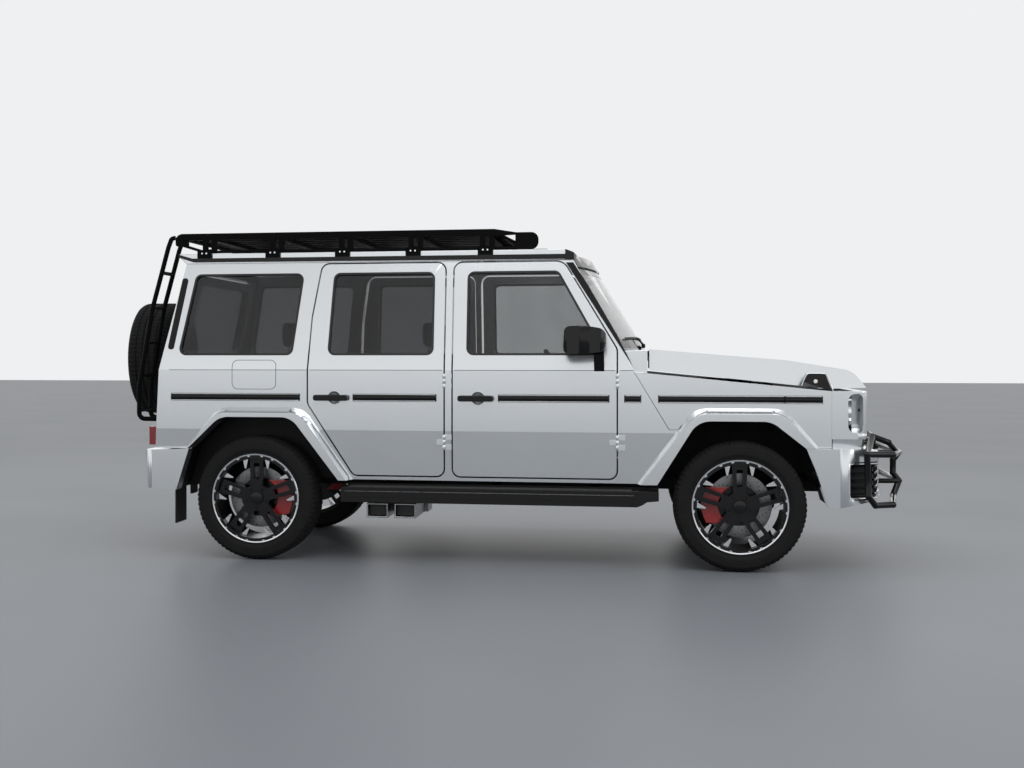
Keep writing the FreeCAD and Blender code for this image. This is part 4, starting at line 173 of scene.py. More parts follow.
def shaded(colour, factor):
    return tuple(min(1.0, c * factor) for c in colour)


def surface(name, colour, rough, metallic=0.0, coat=0.0, spread=0.12, scale=18.0,
            grain=400.0, relief=0.15, specular=0.5):
    """A finish whose colour and roughness vary a little, with a fine grain in relief."""
    made, tree, principled = shader(name, {"Metallic": metallic, "Coat Weight": coat, "Coat Roughness": 0.05,
                                           "Specular IOR Level": specular})
    large = noise(tree, scale)
    vary_colour(tree, principled, large, shaded(colour, 1 - spread), shaded(colour, 1 + spread))
    vary_roughness(tree, principled, large, rough * 0.8, rough * 1.2)
    bump(tree, principled, noise(tree, grain, 2.0), relief, 0.0004)
    return made


def glass(name, colour, ahead=None, change_x=0.3):
    """Tinted glass with a trace of dust, and another tint ahead of change_x if one is given."""
    made, tree, principled = shader(name, {"Transmission Weight": 1.0, "IOR": 1.45})
    dust = noise(tree, 6.0)
    vary_roughness(tree, principled, dust, 0.0, 0.02)
    if ahead is None:
        vary_colour(tree, principled, dust, shaded(colour, 0.95), shaded(colour, 1.05))
    else:
        step = {"From Min": change_x - 0.02, "From Max": change_x + 0.02}
        vary_colour(tree, principled, ranged(tree, coordinate(tree, "X"), step), colour, ahead)
    return made


def paint_finish():
    """Pale silver blue metallic: fine flakes under a clear coat with a slight orange peel."""
    made, tree, principled = shader("paint", {"Metallic": 0.9, "Coat Weight": 1.0, "Coat Roughness": 0.07})
    flakes = noise(tree, 1500.0, kind="ShaderNodeTexVoronoi", output="Distance")
    vary_colour(tree, principled, flakes, (0.62, 0.645, 0.665), (0.74, 0.765, 0.785))
    vary_roughness(tree, principled, noise(tree, 3.0), 0.17, 0.22)
    bump(tree, principled, noise(tree, 60.0, 1.0), 0.02, 0.0005)
    return made


# Colour, roughness and what differs from a plain surface
SURFACES = {
    "gloss_black": ((0.005, 0.005, 0.0055), 0.10, dict(coat=0.2, relief=0.02, grain=60, specular=0.2)),
    "black_trim": ((0.008, 0.008, 0.0085), 0.5, dict(relief=0.4, grain=900, specular=0.25)),
    "rack_black": ((0.003, 0.003, 0.0032), 0.5, dict(relief=0.3, grain=1400, specular=0.05)),
    "tyre": ((0.010, 0.010, 0.0105), 0.8, dict(spread=0.25, relief=0.5, grain=300, specular=0.2)),
    "wheel_black": ((0.004, 0.004, 0.0045), 0.22, dict(coat=0.15, relief=0.03, grain=80, specular=0.3)),
    "frame_black": ((0.009, 0.009, 0.0095), 0.65, dict(spread=0.35, relief=0.5, grain=500, specular=0.2)),
    "cast": ((0.16, 0.16, 0.165), 0.55, dict(metallic=0.8, relief=0.8, grain=260, spread=0.2)),
    "lamp_amber": ((0.008, 0.006, 0.005), 0.10, dict(coat=0.1, specular=0.25, relief=0.03, grain=120)),
    "lamp_red": ((0.20, 0.006, 0.008), 0.1, dict(coat=1.0, relief=0.25, grain=120)),
    "caliper_red": ((0.40, 0.010, 0.012), 0.25, dict(coat=0.6, relief=0.15, grain=200)),
    "chrome": ((0.78, 0.79, 0.80), 0.12, dict(metallic=1.0, relief=0.02, grain=60, spread=0.04)),
    "seat": ((0.016, 0.016, 0.017), 0.48, dict(relief=0.9, grain=500)),
    "interior": ((0.022, 0.022, 0.023), 0.62, dict(relief=0.7, grain=700, specular=0.3)),
    "disc_iron": ((0.20, 0.20, 0.205), 0.35, dict(metallic=1.0, relief=0.25, grain=900, scale=60)),
    "exhaust_steel": ((0.20, 0.20, 0.205), 0.28, dict(metallic=1.0, relief=0.1, grain=200)),
    "screen_black": ((0.004, 0.004, 0.005), 0.06, dict(coat=0.6, relief=0.02, grain=60, specular=0.4)),
    "mirror_glass": ((0.72, 0.74, 0.76), 0.03, dict(metallic=1.0, relief=0.01, grain=60, spread=0.03)),
    "bright_metal": ((0.82, 0.83, 0.84), 0.16, dict(metallic=1.0, relief=0.03, grain=90, spread=0.04)),
    "rubber_seal": ((0.012, 0.012, 0.012), 0.55, dict(relief=0.3, grain=600)),
    "lamp_pearl": ((0.80, 0.82, 0.84), 0.25, dict(coat=1.0, relief=0.02, grain=90, spread=0.03)),
    "lamp_lens": ((0.30, 0.33, 0.36), 0.06, dict(metallic=0.6, coat=1.0, relief=0.02, grain=60)),
}
DARK_TINT = (0.19, 0.195, 0.20)
FINISHES = {name: surface(name, colour, rough, **more) for name, (colour, rough, more) in SURFACES.items()}
FINISHES |= {
    "paint": paint_finish(),
    "glass_clear": glass("glass_clear", (0.44, 0.45, 0.455)),
    "glass_tinted": glass("glass_tinted", DARK_TINT),
    "lamp_clear": glass("lamp_clear", (0.95, 0.97, 0.98)),
    "fixed_glass": glass("fixed_glass", DARK_TINT, ahead=(0.60, 0.61, 0.615)),
}
BY_NODE = {"fixed_glass": "fixed_glass", "exhaust": "exhaust_steel"}

# Looks whose finish isn't the record's own for the slot: finish and slot
# The near-black soot look serves real soot in the exhaust tips and painted shade in the brake discs' holes.
LOOKS = {"bright": ("bright_metal", "chrome"), "bolt": ("bright_metal", "rack_black"),
         "rubber": ("rubber_seal", "black_trim"), "soot": ("rubber_seal", "frame_black"),
         "pearl": ("lamp_pearl", "lamp_clear"), "lens": ("lamp_lens", "lamp_clear"),
         "iron": ("disc_iron", "cast"), "steel": ("exhaust_steel", "chrome"),
         "screen": ("screen_black", "gloss_black"), "mirror": ("mirror_glass", "chrome")}


# Mesh helpers

SHARP = math.radians(35)
ROUND_STEP = math.radians(12)


def placed(name, data):
    obj = bpy.data.objects.new(name, data)
    bpy.context.scene.collection.objects.link(obj)
    return obj


def dressed(obj, look, body):
    finish, slot = LOOKS.get(look, (look, look))
    obj.data.materials.clear()
    obj.data.materials.append(FINISHES[finish])
    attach(obj, body)
    return obj


def ease(obj, width, segments=2, angle=SHARP):
    """A small round on an object's sharp edges."""
    made = obj.modifiers.new("ease", "BEVEL")
    made.width = width
    made.segments = segments
    made.limit_method = "ANGLE"
    made.angle_limit = angle
    made.harden_normals = True


def merged(parts):
    """Joins a list of (verts, faces) into one; a single one stays as it is."""
    if isinstance(parts, tuple):
        return parts
    verts, faces = [], []
    for more_verts, more_faces in parts:
        base = len(verts)
        verts += list(more_verts)
        faces += [tuple(base + i for i in face) for face in more_faces]
    return verts, faces


def solid(name, parts, look, body="body", bevel=0.0, smooth=True, segments=2):
    """A mesh piece from (verts, faces), or from a list of them, with its edges eased."""
    verts, faces = merged(parts)
    mesh = bpy.data.meshes.new(name)
    mesh.from_pydata([tuple(v) for v in verts], [], faces)
    mesh.update()
    tidy = bmesh.new()
    tidy.from_mesh(mesh)
    bmesh.ops.remove_doubles(tidy, verts=tidy.verts, dist=1e-6)
    bmesh.ops.recalc_face_normals(tidy, faces=tidy.faces)
    tidy.to_mesh(mesh)
    tidy.free()
    obj = placed(name, mesh)
    if smooth:
        mesh.shade_smooth()
        mesh.set_sharp_from_angle(angle=SHARP)
    if bevel:
        ease(obj, bevel, segments)
    return dressed(obj, look, body)


def flipped(verts):
    return [Vector((v[0], -v[1], v[2])) for v in verts]


def on_side(side, points):
    """Points of the right side, or their mirror image on the left."""
    return points if side == "right" else flipped(points)


def both_sides(name, parts, look, body="body", **shape):
    """The same piece on the right and on the left; body may hold {} for the side's name."""
    verts, faces = merged(parts)
    for side in SIGNS:
        solid(f"{name}_{side}", (on_side(side, verts), faces), look, body.format(side), **shape)


def wire(name, points, radius, look, body="body", cyclic=False, order=3):
    """A smooth rod along given points."""
    data = bpy.data.curves.new(name, "CURVE")
    data.dimensions = "3D"
    data.bevel_depth = radius
    data.bevel_resolution = 4
    data.use_fill_caps = True
    spline = data.splines.new("NURBS")
    spline.points.add(len(points) - 1)
    for point, where in zip(spline.points, points):
        point.co = (*where, 1)
    spline.order_u = order
    spline.use_endpoint_u = True
    spline.use_cyclic_u = cyclic
    spline.resolution_u = 6
    return dressed(placed(name, data), look, body)


def wires(name, points, radius, look, body="body", **shape):
    """The same rod on the right and on the left."""
    for side in SIGNS:
        wire(f"{name}_{side}", on_side(side, points), radius, look, body.format(side), **shape)


def rounded(corners):
    """Points round a closed outline whose corners are (u, v, radius)."""
    points = []
    count = len(corners)
    for i, (u, v, radius) in enumerate(corners):
        here = Vector((u, v))
        if not radius:
            points.append(here)
            continue
        back = (Vector(corners[i - 1][:2]) - here).normalized()
        ahead = (Vector(corners[(i + 1) % count][:2]) - here).normalized()
        half = back.angle(ahead) / 2
        reach = radius / math.tan(half)
        centre = here + (back + ahead).normalized() * (radius / math.sin(half))
        start = here + back * reach - centre
        turn = start.angle_signed(here + ahead * reach - centre)
        steps = max(2, round(abs(turn) / ROUND_STEP))
        points += [centre + turned([start], -turn * k / steps)[0] for k in range(steps + 1)]
    return points


def turned(points, angle):
    """Points of a plane turned about its origin."""
    c, n = math.cos(angle), math.sin(angle)
    return [Vector((p[0] * c - p[1] * n, p[0] * n + p[1] * c)) for p in points]


def rectangle(u0, v0, u1, v1, radius, top=None):
    """Corners of an upright rectangle, whose upper ones may have another radius."""
    top = radius if top is None else top
    return [(u0, v0, radius), (u1, v0, radius), (u1, v1, top), (u0, v1, top)]


def circle(radius, steps):
    return [Vector((radius * math.cos(a), radius * math.sin(a)))
            for a in (2 * math.pi * k / steps for k in range(steps))]


def moved_in(corners, by):
    """The same outline moved inwards by a distance, each corner's radius kept to match."""
    count = len(corners)
    area = sum(corners[i - 1][0] * corners[i][1] - corners[i][0] * corners[i - 1][1] for i in range(count))
    way = 1 if area > 0 else -1
    out = []
    for i, (u, v, radius) in enumerate(corners):
        here = Vector((u, v))
        before = (here - Vector(corners[i - 1][:2])).normalized()
        after = (Vector(corners[(i + 1) % count][:2]) - here).normalized()
        bend = Vector((-before.y, before.x)) * way + Vector((-after.y, after.x)) * way
        here = here + bend * (by / (bend.dot(bend) / 2))
        out.append((here.x, here.y, max(0.0005, radius - by) if radius else 0))
    return out


def dense(points, step=0.03):
    """Adds points on the long runs of a closed outline."""
    out = []
    for i, point in enumerate(points):
        ahead = points[(i + 1) % len(points)]
        parts = max(1, math.ceil((ahead - point).length / step))
        out += [point.lerp(ahead, k / parts) for k in range(parts)]
    return out


def band(outer, inner, place, low, high):
    """A ring between two outlines of as many points, from low to high above a surface."""
    count = len(outer)
    verts = [place(p[0], p[1], h) for h in (low, high) for loop in (outer, inner) for p in loop]
    faces = []
    for i in range(count):
        j = (i + 1) % count
        faces += [(2 * count + i, 2 * count + j, 3 * count + j, 3 * count + i),
                  (i, j, 2 * count + j, 2 * count + i),
                  (count + j, count + i, 3 * count + i, 3 * count + j),
                  (j, i, count + i, count + j)]
    return verts, faces


def plate(points, place, low, high):
    """A filled outline from low to high above a surface."""
    count = len(points)
    verts = [place(p[0], p[1], h) for h in (low, high) for p in points]
    faces = [tuple(range(count - 1, -1, -1)), tuple(range(count, 2 * count))]
    faces += [(i, (i + 1) % count, count + (i + 1) % count, count + i) for i in range(count)]
    return verts, faces


def grid(rows, count, ring=False, closed=False):
    """Faces between rows of points; ring joins the last row to the first, closed the ends of each row."""
    faces = []
    for r in range(rows if ring else rows - 1):
        n = (r + 1) % rows
        for i in range(count if closed else count - 1):
            j = (i + 1) % count
            faces.append((r * count + i, r * count + j, n * count + j, n * count + i))
    return faces


# Which of (u, v, across) goes to X, Y and Z for a turned shape's axis
TURN_ORDER = {"x": (2, 0, 1), "y": (0, 2, 1), "z": (0, 1, 2)}


def lathe(profile, steps, centre, axis="y", way=1):
    """Turns (radius, across) points about a line through centre; way -1 mirrors them across."""
    centre = Vector(centre)
    verts = []
    for k in range(steps):
        a = 2 * math.pi * k / steps
        for radius, across in profile:
            spot = (radius * math.cos(a), radius * math.sin(a), way * across)
            verts.append(centre + Vector([spot[i] for i in TURN_ORDER[axis]]))
    return verts, grid(steps, len(profile), ring=True)


def block(low, high):
    """A box between two opposite corners."""
    x0, y0, z0 = low
    x1, y1, z1 = high
    verts = [Vector((x, y, z)) for z in (z0, z1) for y in (y0, y1) for x in (x0, x1)]
    return verts, [(0, 2, 3, 1), (4, 5, 7, 6), (0, 1, 5, 4), (2, 6, 7, 3), (0, 4, 6, 2), (1, 3, 7, 5)]


def beam(start, end, low, high):
    """A block between two places in millimetres along the car, with (y, z) corners."""
    return block((along(start), *low), (along(end), *high))


def ribbon(lines):
    """A sheet of faces between rows of as many points."""
    return [p for line in lines for p in line], grid(len(lines), len(lines[0]))


def slab(lines, thick):
    """A sheet given a thickness along its own normals, closed all round."""
    rows, count = len(lines), len(lines[0])
    front, faces = ribbon(lines)
    back = []
    for r in range(rows):
        for i in range(count):
            u = lines[r][min(i + 1, count - 1)] - lines[r][max(i - 1, 0)]
            v = lines[min(r + 1, rows - 1)][i] - lines[max(r - 1, 0)][i]
            back.append(lines[r][i] - u.cross(v).normalized() * thick)
    size = rows * count
    faces += [(size + a, size + d, size + c, size + b) for a, b, c, d in faces]
    rim = [*range(count), *range(2 * count - 1, size, count), *range(size - 2, size - count - 1, -1),
           *range(size - 2 * count, 0, -count)]
    faces += [(a, b, size + b, size + a) for a, b in zip(rim, rim[1:] + rim[:1])]
    return front + back, faces


TREES = {}


def hit(node, start, way):
    """Where a line from start along way first meets a CAD node, and the normal there."""
    if node not in TREES:
        mesh = frame["nodes"][node].data
        TREES[node] = BVHTree.FromPolygons([v.co.copy() for v in mesh.vertices],
                                           [tuple(p.vertices) for p in mesh.polygons])
    where, normal, _, _ = TREES[node].ray_cast(Vector(start), Vector(way).normalized())
    return where, normal


def traced(node, starts, way):
    """The places where lines along way meet a CAD node, without those that miss it."""
    return [where for where, _ in (hit(node, start, way) for start in starts) if where is not None]


# Finishes of the CAD nodes

EASED = {"paint": 0.003, "gloss_black": 0.003, "black_trim": 0.003, "rack_black": 0.0015, "chrome": 0.0015,
         "lamp_amber": 0.006, "cast": 0.002, "caliper_red": 0.003, "interior": 0.006, "frame_black": 0.002}


def dress_nodes():
    """Gives each CAD node its finish and a small round on its sharp edges."""
    slots = {part["node"]: part["material_slot"] for part in frame["record"]["subparts"]}
    for name, obj in frame["nodes"].items():
        slot = slots[name]
        obj.data.materials.clear()
        obj.data.materials.append(FINISHES[BY_NODE.get(name, slot)])
        if slot in EASED:
            joined = obj.modifiers.new("joined", "WELD")
            joined.merge_threshold = 0.00001
            ease(obj, EASED[slot], angle=math.radians(32))


dress_nodes()


# Camera, floor and light

# Position, target, size and power of each soft light
SOFTBOXES = {
    "key": ((1.5, -6.0, 6.5), (0, 0, 0.8), (7.0, 3.5), 200),
    "top": ((0, 0, 7.0), (0, 0, 0), (7.0, 4.0), 60),
    "front": ((8.0, -2.0, 3.5), (0, 0, 1.0), (4.0, 3.0), 50),
    "back": ((-8.0, 3.0, 4.0), (0, 0, 1.0), (5.0, 3.0), 50),
    "far_side": ((0, 8.0, 5.0), (0, 0, 1.0), (7.0, 3.0), 35),
}
FLOOR_HALF = 60


def camera():
    """The camera that was fitted to the photograph."""
    data = bpy.data.cameras.new("camera")
    data.lens = 49.51
    data.sensor_width = 36
    data.shift_x = 0.1269
    data.shift_y = -0.0271
    data.clip_end = 200
    obj = placed("camera", data)
    obj.location = (MID_X + 0.8783, -9.3045, 1.2494)
    obj.rotation_euler = (math.pi / 2, 0, 0.1813)
    bpy.context.scene.camera = obj


def softbox(name, where, target, size, power):
    data = bpy.data.lights.new(name, "AREA")
    data.shape = "RECTANGLE"
    data.size, data.size_y = size
    data.energy = power
    obj = placed(name, data)
    obj.location = where
    obj.rotation_euler = (Vector(target) - Vector(where)).to_track_quat("-Z", "Y").to_euler()


def floor():
    """A floor that is grey round the car and grows pale far out on the near side, as a studio sweep does."""
    mesh = bpy.data.meshes.new("floor")
    corners = [(-FLOOR_HALF, -FLOOR_HALF, 0), (FLOOR_HALF, -FLOOR_HALF, 0),
               (FLOOR_HALF, FLOOR_HALF, 0), (-FLOOR_HALF, FLOOR_HALF, 0)]
    mesh.from_pydata(corners, [], [(0, 1, 2, 3)])
    made, tree, principled = shader("floor_grey", {"Specular IOR Level": 0.35})
    vary_roughness(tree, principled, noise(tree, 0.6), 0.38, 0.46)
    outward = ranged(tree, coordinate(tree, "Y"), {"From Min": -40, "From Max": -6})
    colours(tree, outward, ((0.0, (0.92, 0.93, 0.94)), (0.77, (0.44, 0.455, 0.475)),
                            (1.0, (0.200, 0.212, 0.232))), principled.inputs["Base Color"])
    ground = placed("floor", mesh)
    ground.data.materials.append(made)


def surround():
    """An even pale surround with a slightly darker ceiling; the camera sees it plain."""
    world = bpy.data.worlds.new("studio")
    bpy.context.scene.world = world
    world.use_nodes = True
    tree = world.node_tree
    tree.nodes.clear()
    light = tree.nodes.new("ShaderNodeBackground")
    plain = tree.nodes.new("ShaderNodeBackground")
    put(light, {"Strength": 1.0})
    put(plain, {"Color": (0.86, 0.87, 0.88, 1), "Strength": 1.0})
    rays = tree.nodes.new("ShaderNodeLightPath")
    either = tree.nodes.new("ShaderNodeMixShader")
    out = tree.nodes.new("ShaderNodeOutputWorld")
    sky = ((0.0, (0.95, 0.96, 0.97)), (0.25, (1.0, 1.0, 1.0)), (0.42, (0.60, 0.61, 0.62)))
    colours(tree, coordinate(tree, "Z", "Generated"), sky, light.inputs["Color"])
    tree.links.new(rays.outputs["Is Camera Ray"], either.inputs["Fac"])
    tree.links.new(light.outputs["Background"], either.inputs[1])
    tree.links.new(plain.outputs["Background"], either.inputs[2])
    tree.links.new(either.outputs["Shader"], out.inputs["Surface"])


bpy.context.scene.view_settings.view_transform = "Standard"
camera()
surround()
floor()
for name, setting in SOFTBOXES.items():
    softbox(name, *setting)


# Tyres

# (radius, across, share of the cross cuts) from the inner bead to the tread
SIDE_WALL = [(0.2545, 0.119, 0), (0.262, 0.1222, 0), (0.272, 0.1228, 0), (0.279, 0.1265, 0),
             (0.2835, 0.1262, 0), (0.292, 0.1318, 0), (0.302, 0.1356, 0), (0.3045, 0.1366, 0),
             (0.308, 0.1366, 0), (0.3105, 0.1362, 0), (0.322, 0.1368, 0), (0.334, 0.1355, 0),
             (0.344, 0.1328, 0), (0.3465, 0.1334, 0), (0.3495, 0.1322, 0), (0.352, 0.1296, 0.2),
             (0.362, 0.1245, 1), (0.3695, 0.114, 1), (0.3745, 0.104, 1), (0.3768, 0.094, 1)]
GROOVES = (0.066, 0.023, -0.023, -0.066)
GROOVE_HALF = 0.0045
GROOVE_DEEP = 0.008
CUT_DEEP = 0.0055
PITCHES = 76


def tyre_mesh(centre, across_x=False):
    """A road tyre: ribs round the side walls, four grooves and cross cuts in the tread."""
    groove = [(TYRE_R, GROOVE_HALF + 0.002, 0.6), (TYRE_R - GROOVE_DEEP, GROOVE_HALF, 0),
              (TYRE_R - GROOVE_DEEP, -GROOVE_HALF, 0), (TYRE_R, -GROOVE_HALF - 0.002, 0.6)]
    tread = [(r, middle + y, c) for middle in GROOVES for r, y, c in groove]
    profile = SIDE_WALL + tread + [(r, -y, c) for r, y, c in SIDE_WALL[::-1]]
    steps = PITCHES * 4
    verts = []
    for k in range(steps):
        for radius, across, share in profile:
            a = 2 * math.pi * (k + (0.5 if across > 0 else 0.0)) / steps
            r = radius - (CUT_DEEP * share if k % 4 == 0 else 0.0)
            u, v = r * math.cos(a), r * math.sin(a)
            verts.append(centre + Vector((across, u, v) if across_x else (u, across, v)))
    return verts, grid(steps, len(profile), ring=True, closed=True)


for corner, centre in CORNERS.items():
    tread = solid(f"tread_{corner}", tyre_mesh(centre), "tyre", f"wheel_{corner}")
    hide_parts(f"tyre_{corner}")
tread = solid("tread_spare", tyre_mesh(middle_of("spare_tyre"), across_x=True), "tyre", "tailgate")
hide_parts("spare_tyre")


# Wheel trim, with heights measured outward from the middle of the wheel

RIM_LIP = [(0.2645, 0.1275), (0.2645, 0.1305), (0.2665, 0.1315), (0.2725, 0.1315), (0.274, 0.130),
           (0.274, 0.1255)]
CAP = [(0.0, 0.1075), (0.018, 0.1073), (0.032, 0.1055), (0.0355, 0.1045), (0.0365, 0.106), (0.0405, 0.106),
       (0.042, 0.1035), (0.042, 0.0925)]
NUT = [(0.0, 0.1025), (0.0075, 0.1025), (0.0095, 0.1005), (0.0105, 0.0925)]
LUG = [(0.0115, 0.191, 0.003), (0.0195, 0.194, 0.003), (0.0155, 0.243, 0.002), (-0.0175, 0.243, 0.002)]
TOOTH = [(-0.0105, 0.2665), (-0.006, 0.2565), (0.006, 0.2565), (0.0105, 0.2665)]
LUG_TURN = math.radians(16.8)
TOOTH_TURN = math.radians(7.6)
NUT_CIRCLE = 0.062


def wheel_trim(corner, centre):
    """A rim's bright lip, lugs and teeth, its cap and its nuts."""
    way, body = OUTWARD[corner], f"wheel_{corner}"

    def face(u, v, h):
        return centre + Vector((u, way * h, v))
    lugs, teeth, nuts = [], [], []
    for k in range(5):
        for hand in (-1, 1):
            turn = 2 * math.pi * k / 5 - hand * LUG_TURN
            lug = rounded([(hand * u, v, r) for u, v, r in LUG][::hand])
            lugs.append(plate(turned(lug, turn), face, 0.0845, 0.100))
            for side in (-1, 1):
                teeth.append(plate(turned(TOOTH, turn + side * TOOTH_TURN), face, 0.1255, 0.1307))
        a = 2 * math.pi * (k + 0.5) / 5 + math.pi / 2
        nuts.append(lathe(NUT, 6, face(NUT_CIRCLE * math.cos(a), NUT_CIRCLE * math.sin(a), 0), way=way))
    solid(f"rim_ring_{corner}", lathe(RIM_LIP, 120, centre, way=way), "bright", body)
    solid(f"rim_lugs_{corner}", lugs, "bright", body, bevel=0.0008)
    solid(f"rim_teeth_{corner}", teeth, "bright", body, bevel=0.0004)
    solid(f"rim_cap_{corner}", lathe(CAP, 64, centre, way=way), "wheel_black", body)
    solid(f"rim_nuts_{corner}", nuts, "frame_black", body, smooth=False)


for corner, centre in CORNERS.items():
    wheel_trim(corner, centre)


# Side mouldings and handles

MOULD_Z = 0.998
MOULD_TAPER = 0.006
# (height, out) from the edge of the strip to its middle
MOULD_SECTION = [(0.0235, 0.0), (0.0235, 0.006), (0.0205, 0.0095), (0.018, 0.0095), (0.017, 0.008),
                 (0.004, 0.0125)]
MOULDINGS = {"rear_quarter": (-2005, -1178, "body"), "rear_door": (-847, -331, "door_rear_{}"),
             "front_door": (40, 700, "door_front_{}"), "wing_short": (785, 885, "body"),
             "wing": (981, 1700, "body"), "wing_front": (1700, 1912, "body")}


def moulding(name, start, end, body):
    """A black strip with a thin bright line along its upper and lower edge."""
    x0, x1 = along(start), along(end)
    a, b = x0 + MOULD_TAPER, x1 - MOULD_TAPER
    section = [(-z, out) for z, out in MOULD_SECTION] + MOULD_SECTION[::-1]
    lines = [[Vector((x, -BODY_HALF - out * share, MOULD_Z + z * (0.8 + 0.2 * share))) for z, out in section]
             for x, share in ((x0, 0.55), (a, 1.0), (b, 1.0), (x1, 0.55))]
    verts, faces = ribbon(lines)
    count = len(section)
    faces += [tuple(range(count - 1, -1, -1)), tuple(range(3 * count, 4 * count))]
    both_sides(f"moulding_{name}", (verts, faces), "gloss_black", body, bevel=0.0006)
    for label, z in (("top", MOULD_Z + 0.0192), ("low", MOULD_Z - 0.0192)):
        line = block((a, -BODY_HALF - 0.0103, z - 0.0017), (b, -BODY_HALF - 0.006, z + 0.0017))
        both_sides(f"moulding_{name}_{label}", line, "bright", body, bevel=0.0006)


for name, (start, end, body) in MOULDINGS.items():
    moulding(name, start, end, body)

HANDLE_Z = 0.996
BOWL = [(0.0, -0.0008), (0.014, -0.0012), (0.028, -0.0022), (0.036, -0.0042), (0.039, -0.0058),
        (0.0415, -0.0058), (0.043, -0.004), (0.043, 0.001)]


def handle(name, start, end, cup):
    """A black pull bar on two feet in front of a round painted cup."""
    x0, x1 = along(start), along(end)
    bar = plate(rounded(rectangle(x0, HANDLE_Z - 0.018, x1, HANDLE_Z + 0.018, 0.014)), skin, 0.026, 0.043)
    low, high = HANDLE_Z - 0.013, HANDLE_Z + 0.013
    feet = [block((x - 0.017, -BODY_HALF - 0.03, low), (x + 0.017, -BODY_HALF + 0.001, high))
            for x in (x0 + 0.026, x1 - 0.026)]
    body = f"door_{name}_{{}}"
    both_sides(f"handle_{name}", [bar, *feet], "gloss_black", body, bevel=0.005, segments=4)
    both_sides(f"handle_cup_{name}", lathe(BOWL, 72, (along(cup), -BODY_HALF, HANDLE_Z)), "paint", body)


handle("rear", -1088, -873, -962)
handle("front", -200, 15, -80)


# Fuel flap, side vent, window seals and front pillar trim, in millimetres along the car and up

def in_frame(corners):
    return [(along(x), z / 1000, r / 1000) for x, z, r in corners]


flap = in_frame(rectangle(-1609, 1048, -1333, 1224, 34))
flap_line = band(dense(rounded(moved_in(flap, -0.003))), dense(rounded(flap)), skin, -0.001, 0.0007)
both_sides("fuel_flap_line", flap_line, "rubber")
vent = in_frame([(-2036, 1292, 18), (-1996, 1292, 18), (-1917, 1741, 18), (-1957, 1741, 18)])
both_sides("side_vent", plate(rounded(vent), skin, -0.001, 0.0035), "black_trim", bevel=0.0015)

WINDOWS = {"front_door": ((-151, 679, 396, -151), "door_front_{}"),
           "rear_door": ((-1008, -353, -353, -980), "door_rear_{}"),
           "quarter": ((-1965, -1232, -1170, -1868), "body")}
for name, (places, body) in WINDOWS.items():
    line = in_frame([(x, z, 42) for x, z in zip(places, (1257, 1257, 1763, 1763))])
    lips = [rounded(moved_in(line, by)) for by in (-0.002, 0.011)]
    closer = [dense(lip) for lip in lips]
    if len(closer[0]) == len(closer[1]):
        lips = closer
    both_sides(f"window_seal_{name}", band(*lips, skin, -0.012, 0.0022), "rubber", body, bevel=0.001)

pillar = in_frame([(439, 1813, 0), (839, 1183, 0), (743, 1377, 0), (583, 1656, 0), (484, 1813, 0)])
both_sides("pillar_trim", plate(rounded(pillar), skin, -0.001, 0.005), "gloss_black", bevel=0.0015)


# Inner arches and radiator

def aprons():
    """Pressed sheets between the engine bay and the front wheels, with upright swages."""
    columns = [along(950 + 25 * i) for i in range(45)]
    lines = [[Vector((x, -0.450 - 0.006 * (math.sin(x * 38) > 0.4), z)) for x in columns]
             for z in (0.545, 0.60, 0.70, 0.80, 0.90, 0.935)]
    both_sides("arch_apron", slab(lines, 0.002), "frame_black")


def radiator():
    """A core between two tanks behind the grille."""
    x = along(2062)
    solid("radiator_core", block((x, -0.36, 0.60), (x + 0.03, 0.36, 1.0)), "cast", bevel=0.003)
    tanks = [block((x - 0.008, y - 0.022, 0.585), (x + 0.038, y + 0.022, 1.015)) for y in (-0.375, 0.375)]
    solid("radiator_tanks", tanks, "black_trim", bevel=0.008, segments=3)


aprons()
radiator()


# Headlamps and wing indicators

def headlamps():
    """Round lamps: bright ring, dark bowl, light ring, three lenses in bezels and a clear dome."""
    low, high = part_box("headlamps")
    back, front = low.x + 0.001, high.x
    radius = (high.z - low.z) / 2
    tight = radius - 0.0125
    ring = [(radius, back), (radius, front - 0.005), (radius - 0.003, front - 0.001), (radius - 0.009, front),
            (tight, front - 0.006), (tight, back)]
    bowl = [(tight, front - 0.010), (0.092, front - 0.034), (0.078, back + 0.014), (0.050, back + 0.006),
            (0.0, back + 0.006)]
    tube = [(0.089 + 0.006 * math.cos(a), front - 0.018 + 0.006 * math.sin(a))
            for a in (2 * math.pi * k / 10 for k in range(11))]
    bezel = [(0.032, back + 0.006), (0.032, back + 0.020), (0.0305, back + 0.022), (0.0255, back + 0.018)]
    lens = [(0.026 * math.sin(a), back + 0.018 + 0.0182 * math.cos(a))
            for a in (math.pi / 2 * k / 8 for k in range(8, -1, -1))]
    dome = [(radius - 0.011, front - 0.004), (0.088, front + 0.004), (0.060, front + 0.010),
            (0.030, front + 0.0135), (0.0, front + 0.0145)]
    dome += [(r * 0.985, x - 0.003) for r, x in dome[::-1]]
    three = (-0.042, 0.0, 0.042)
    for name, profile, steps, places, look in (
            ("rings", ring, 96, (0,), "bright"), ("bowls", bowl, 96, (0,), "gloss_black"),
            ("light_rings", tube, 96, (0,), "pearl"), ("bezels", bezel, 40, three, "bright"),
            ("lenses", lens, 40, three, "lens"), ("domes", dome, 96, (0,), "lamp_clear")):
        parts = [lathe(profile, steps, (0, sign * (high.y - radius) + dy, (high.z + low.z) / 2), axis="x")
                 for sign in SIGNS.values() for dy in places]
        piece = solid(f"headlamp_{name}", parts, look)
        if name == "rings":
            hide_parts("headlamps")


WING_SIDE = -0.8625


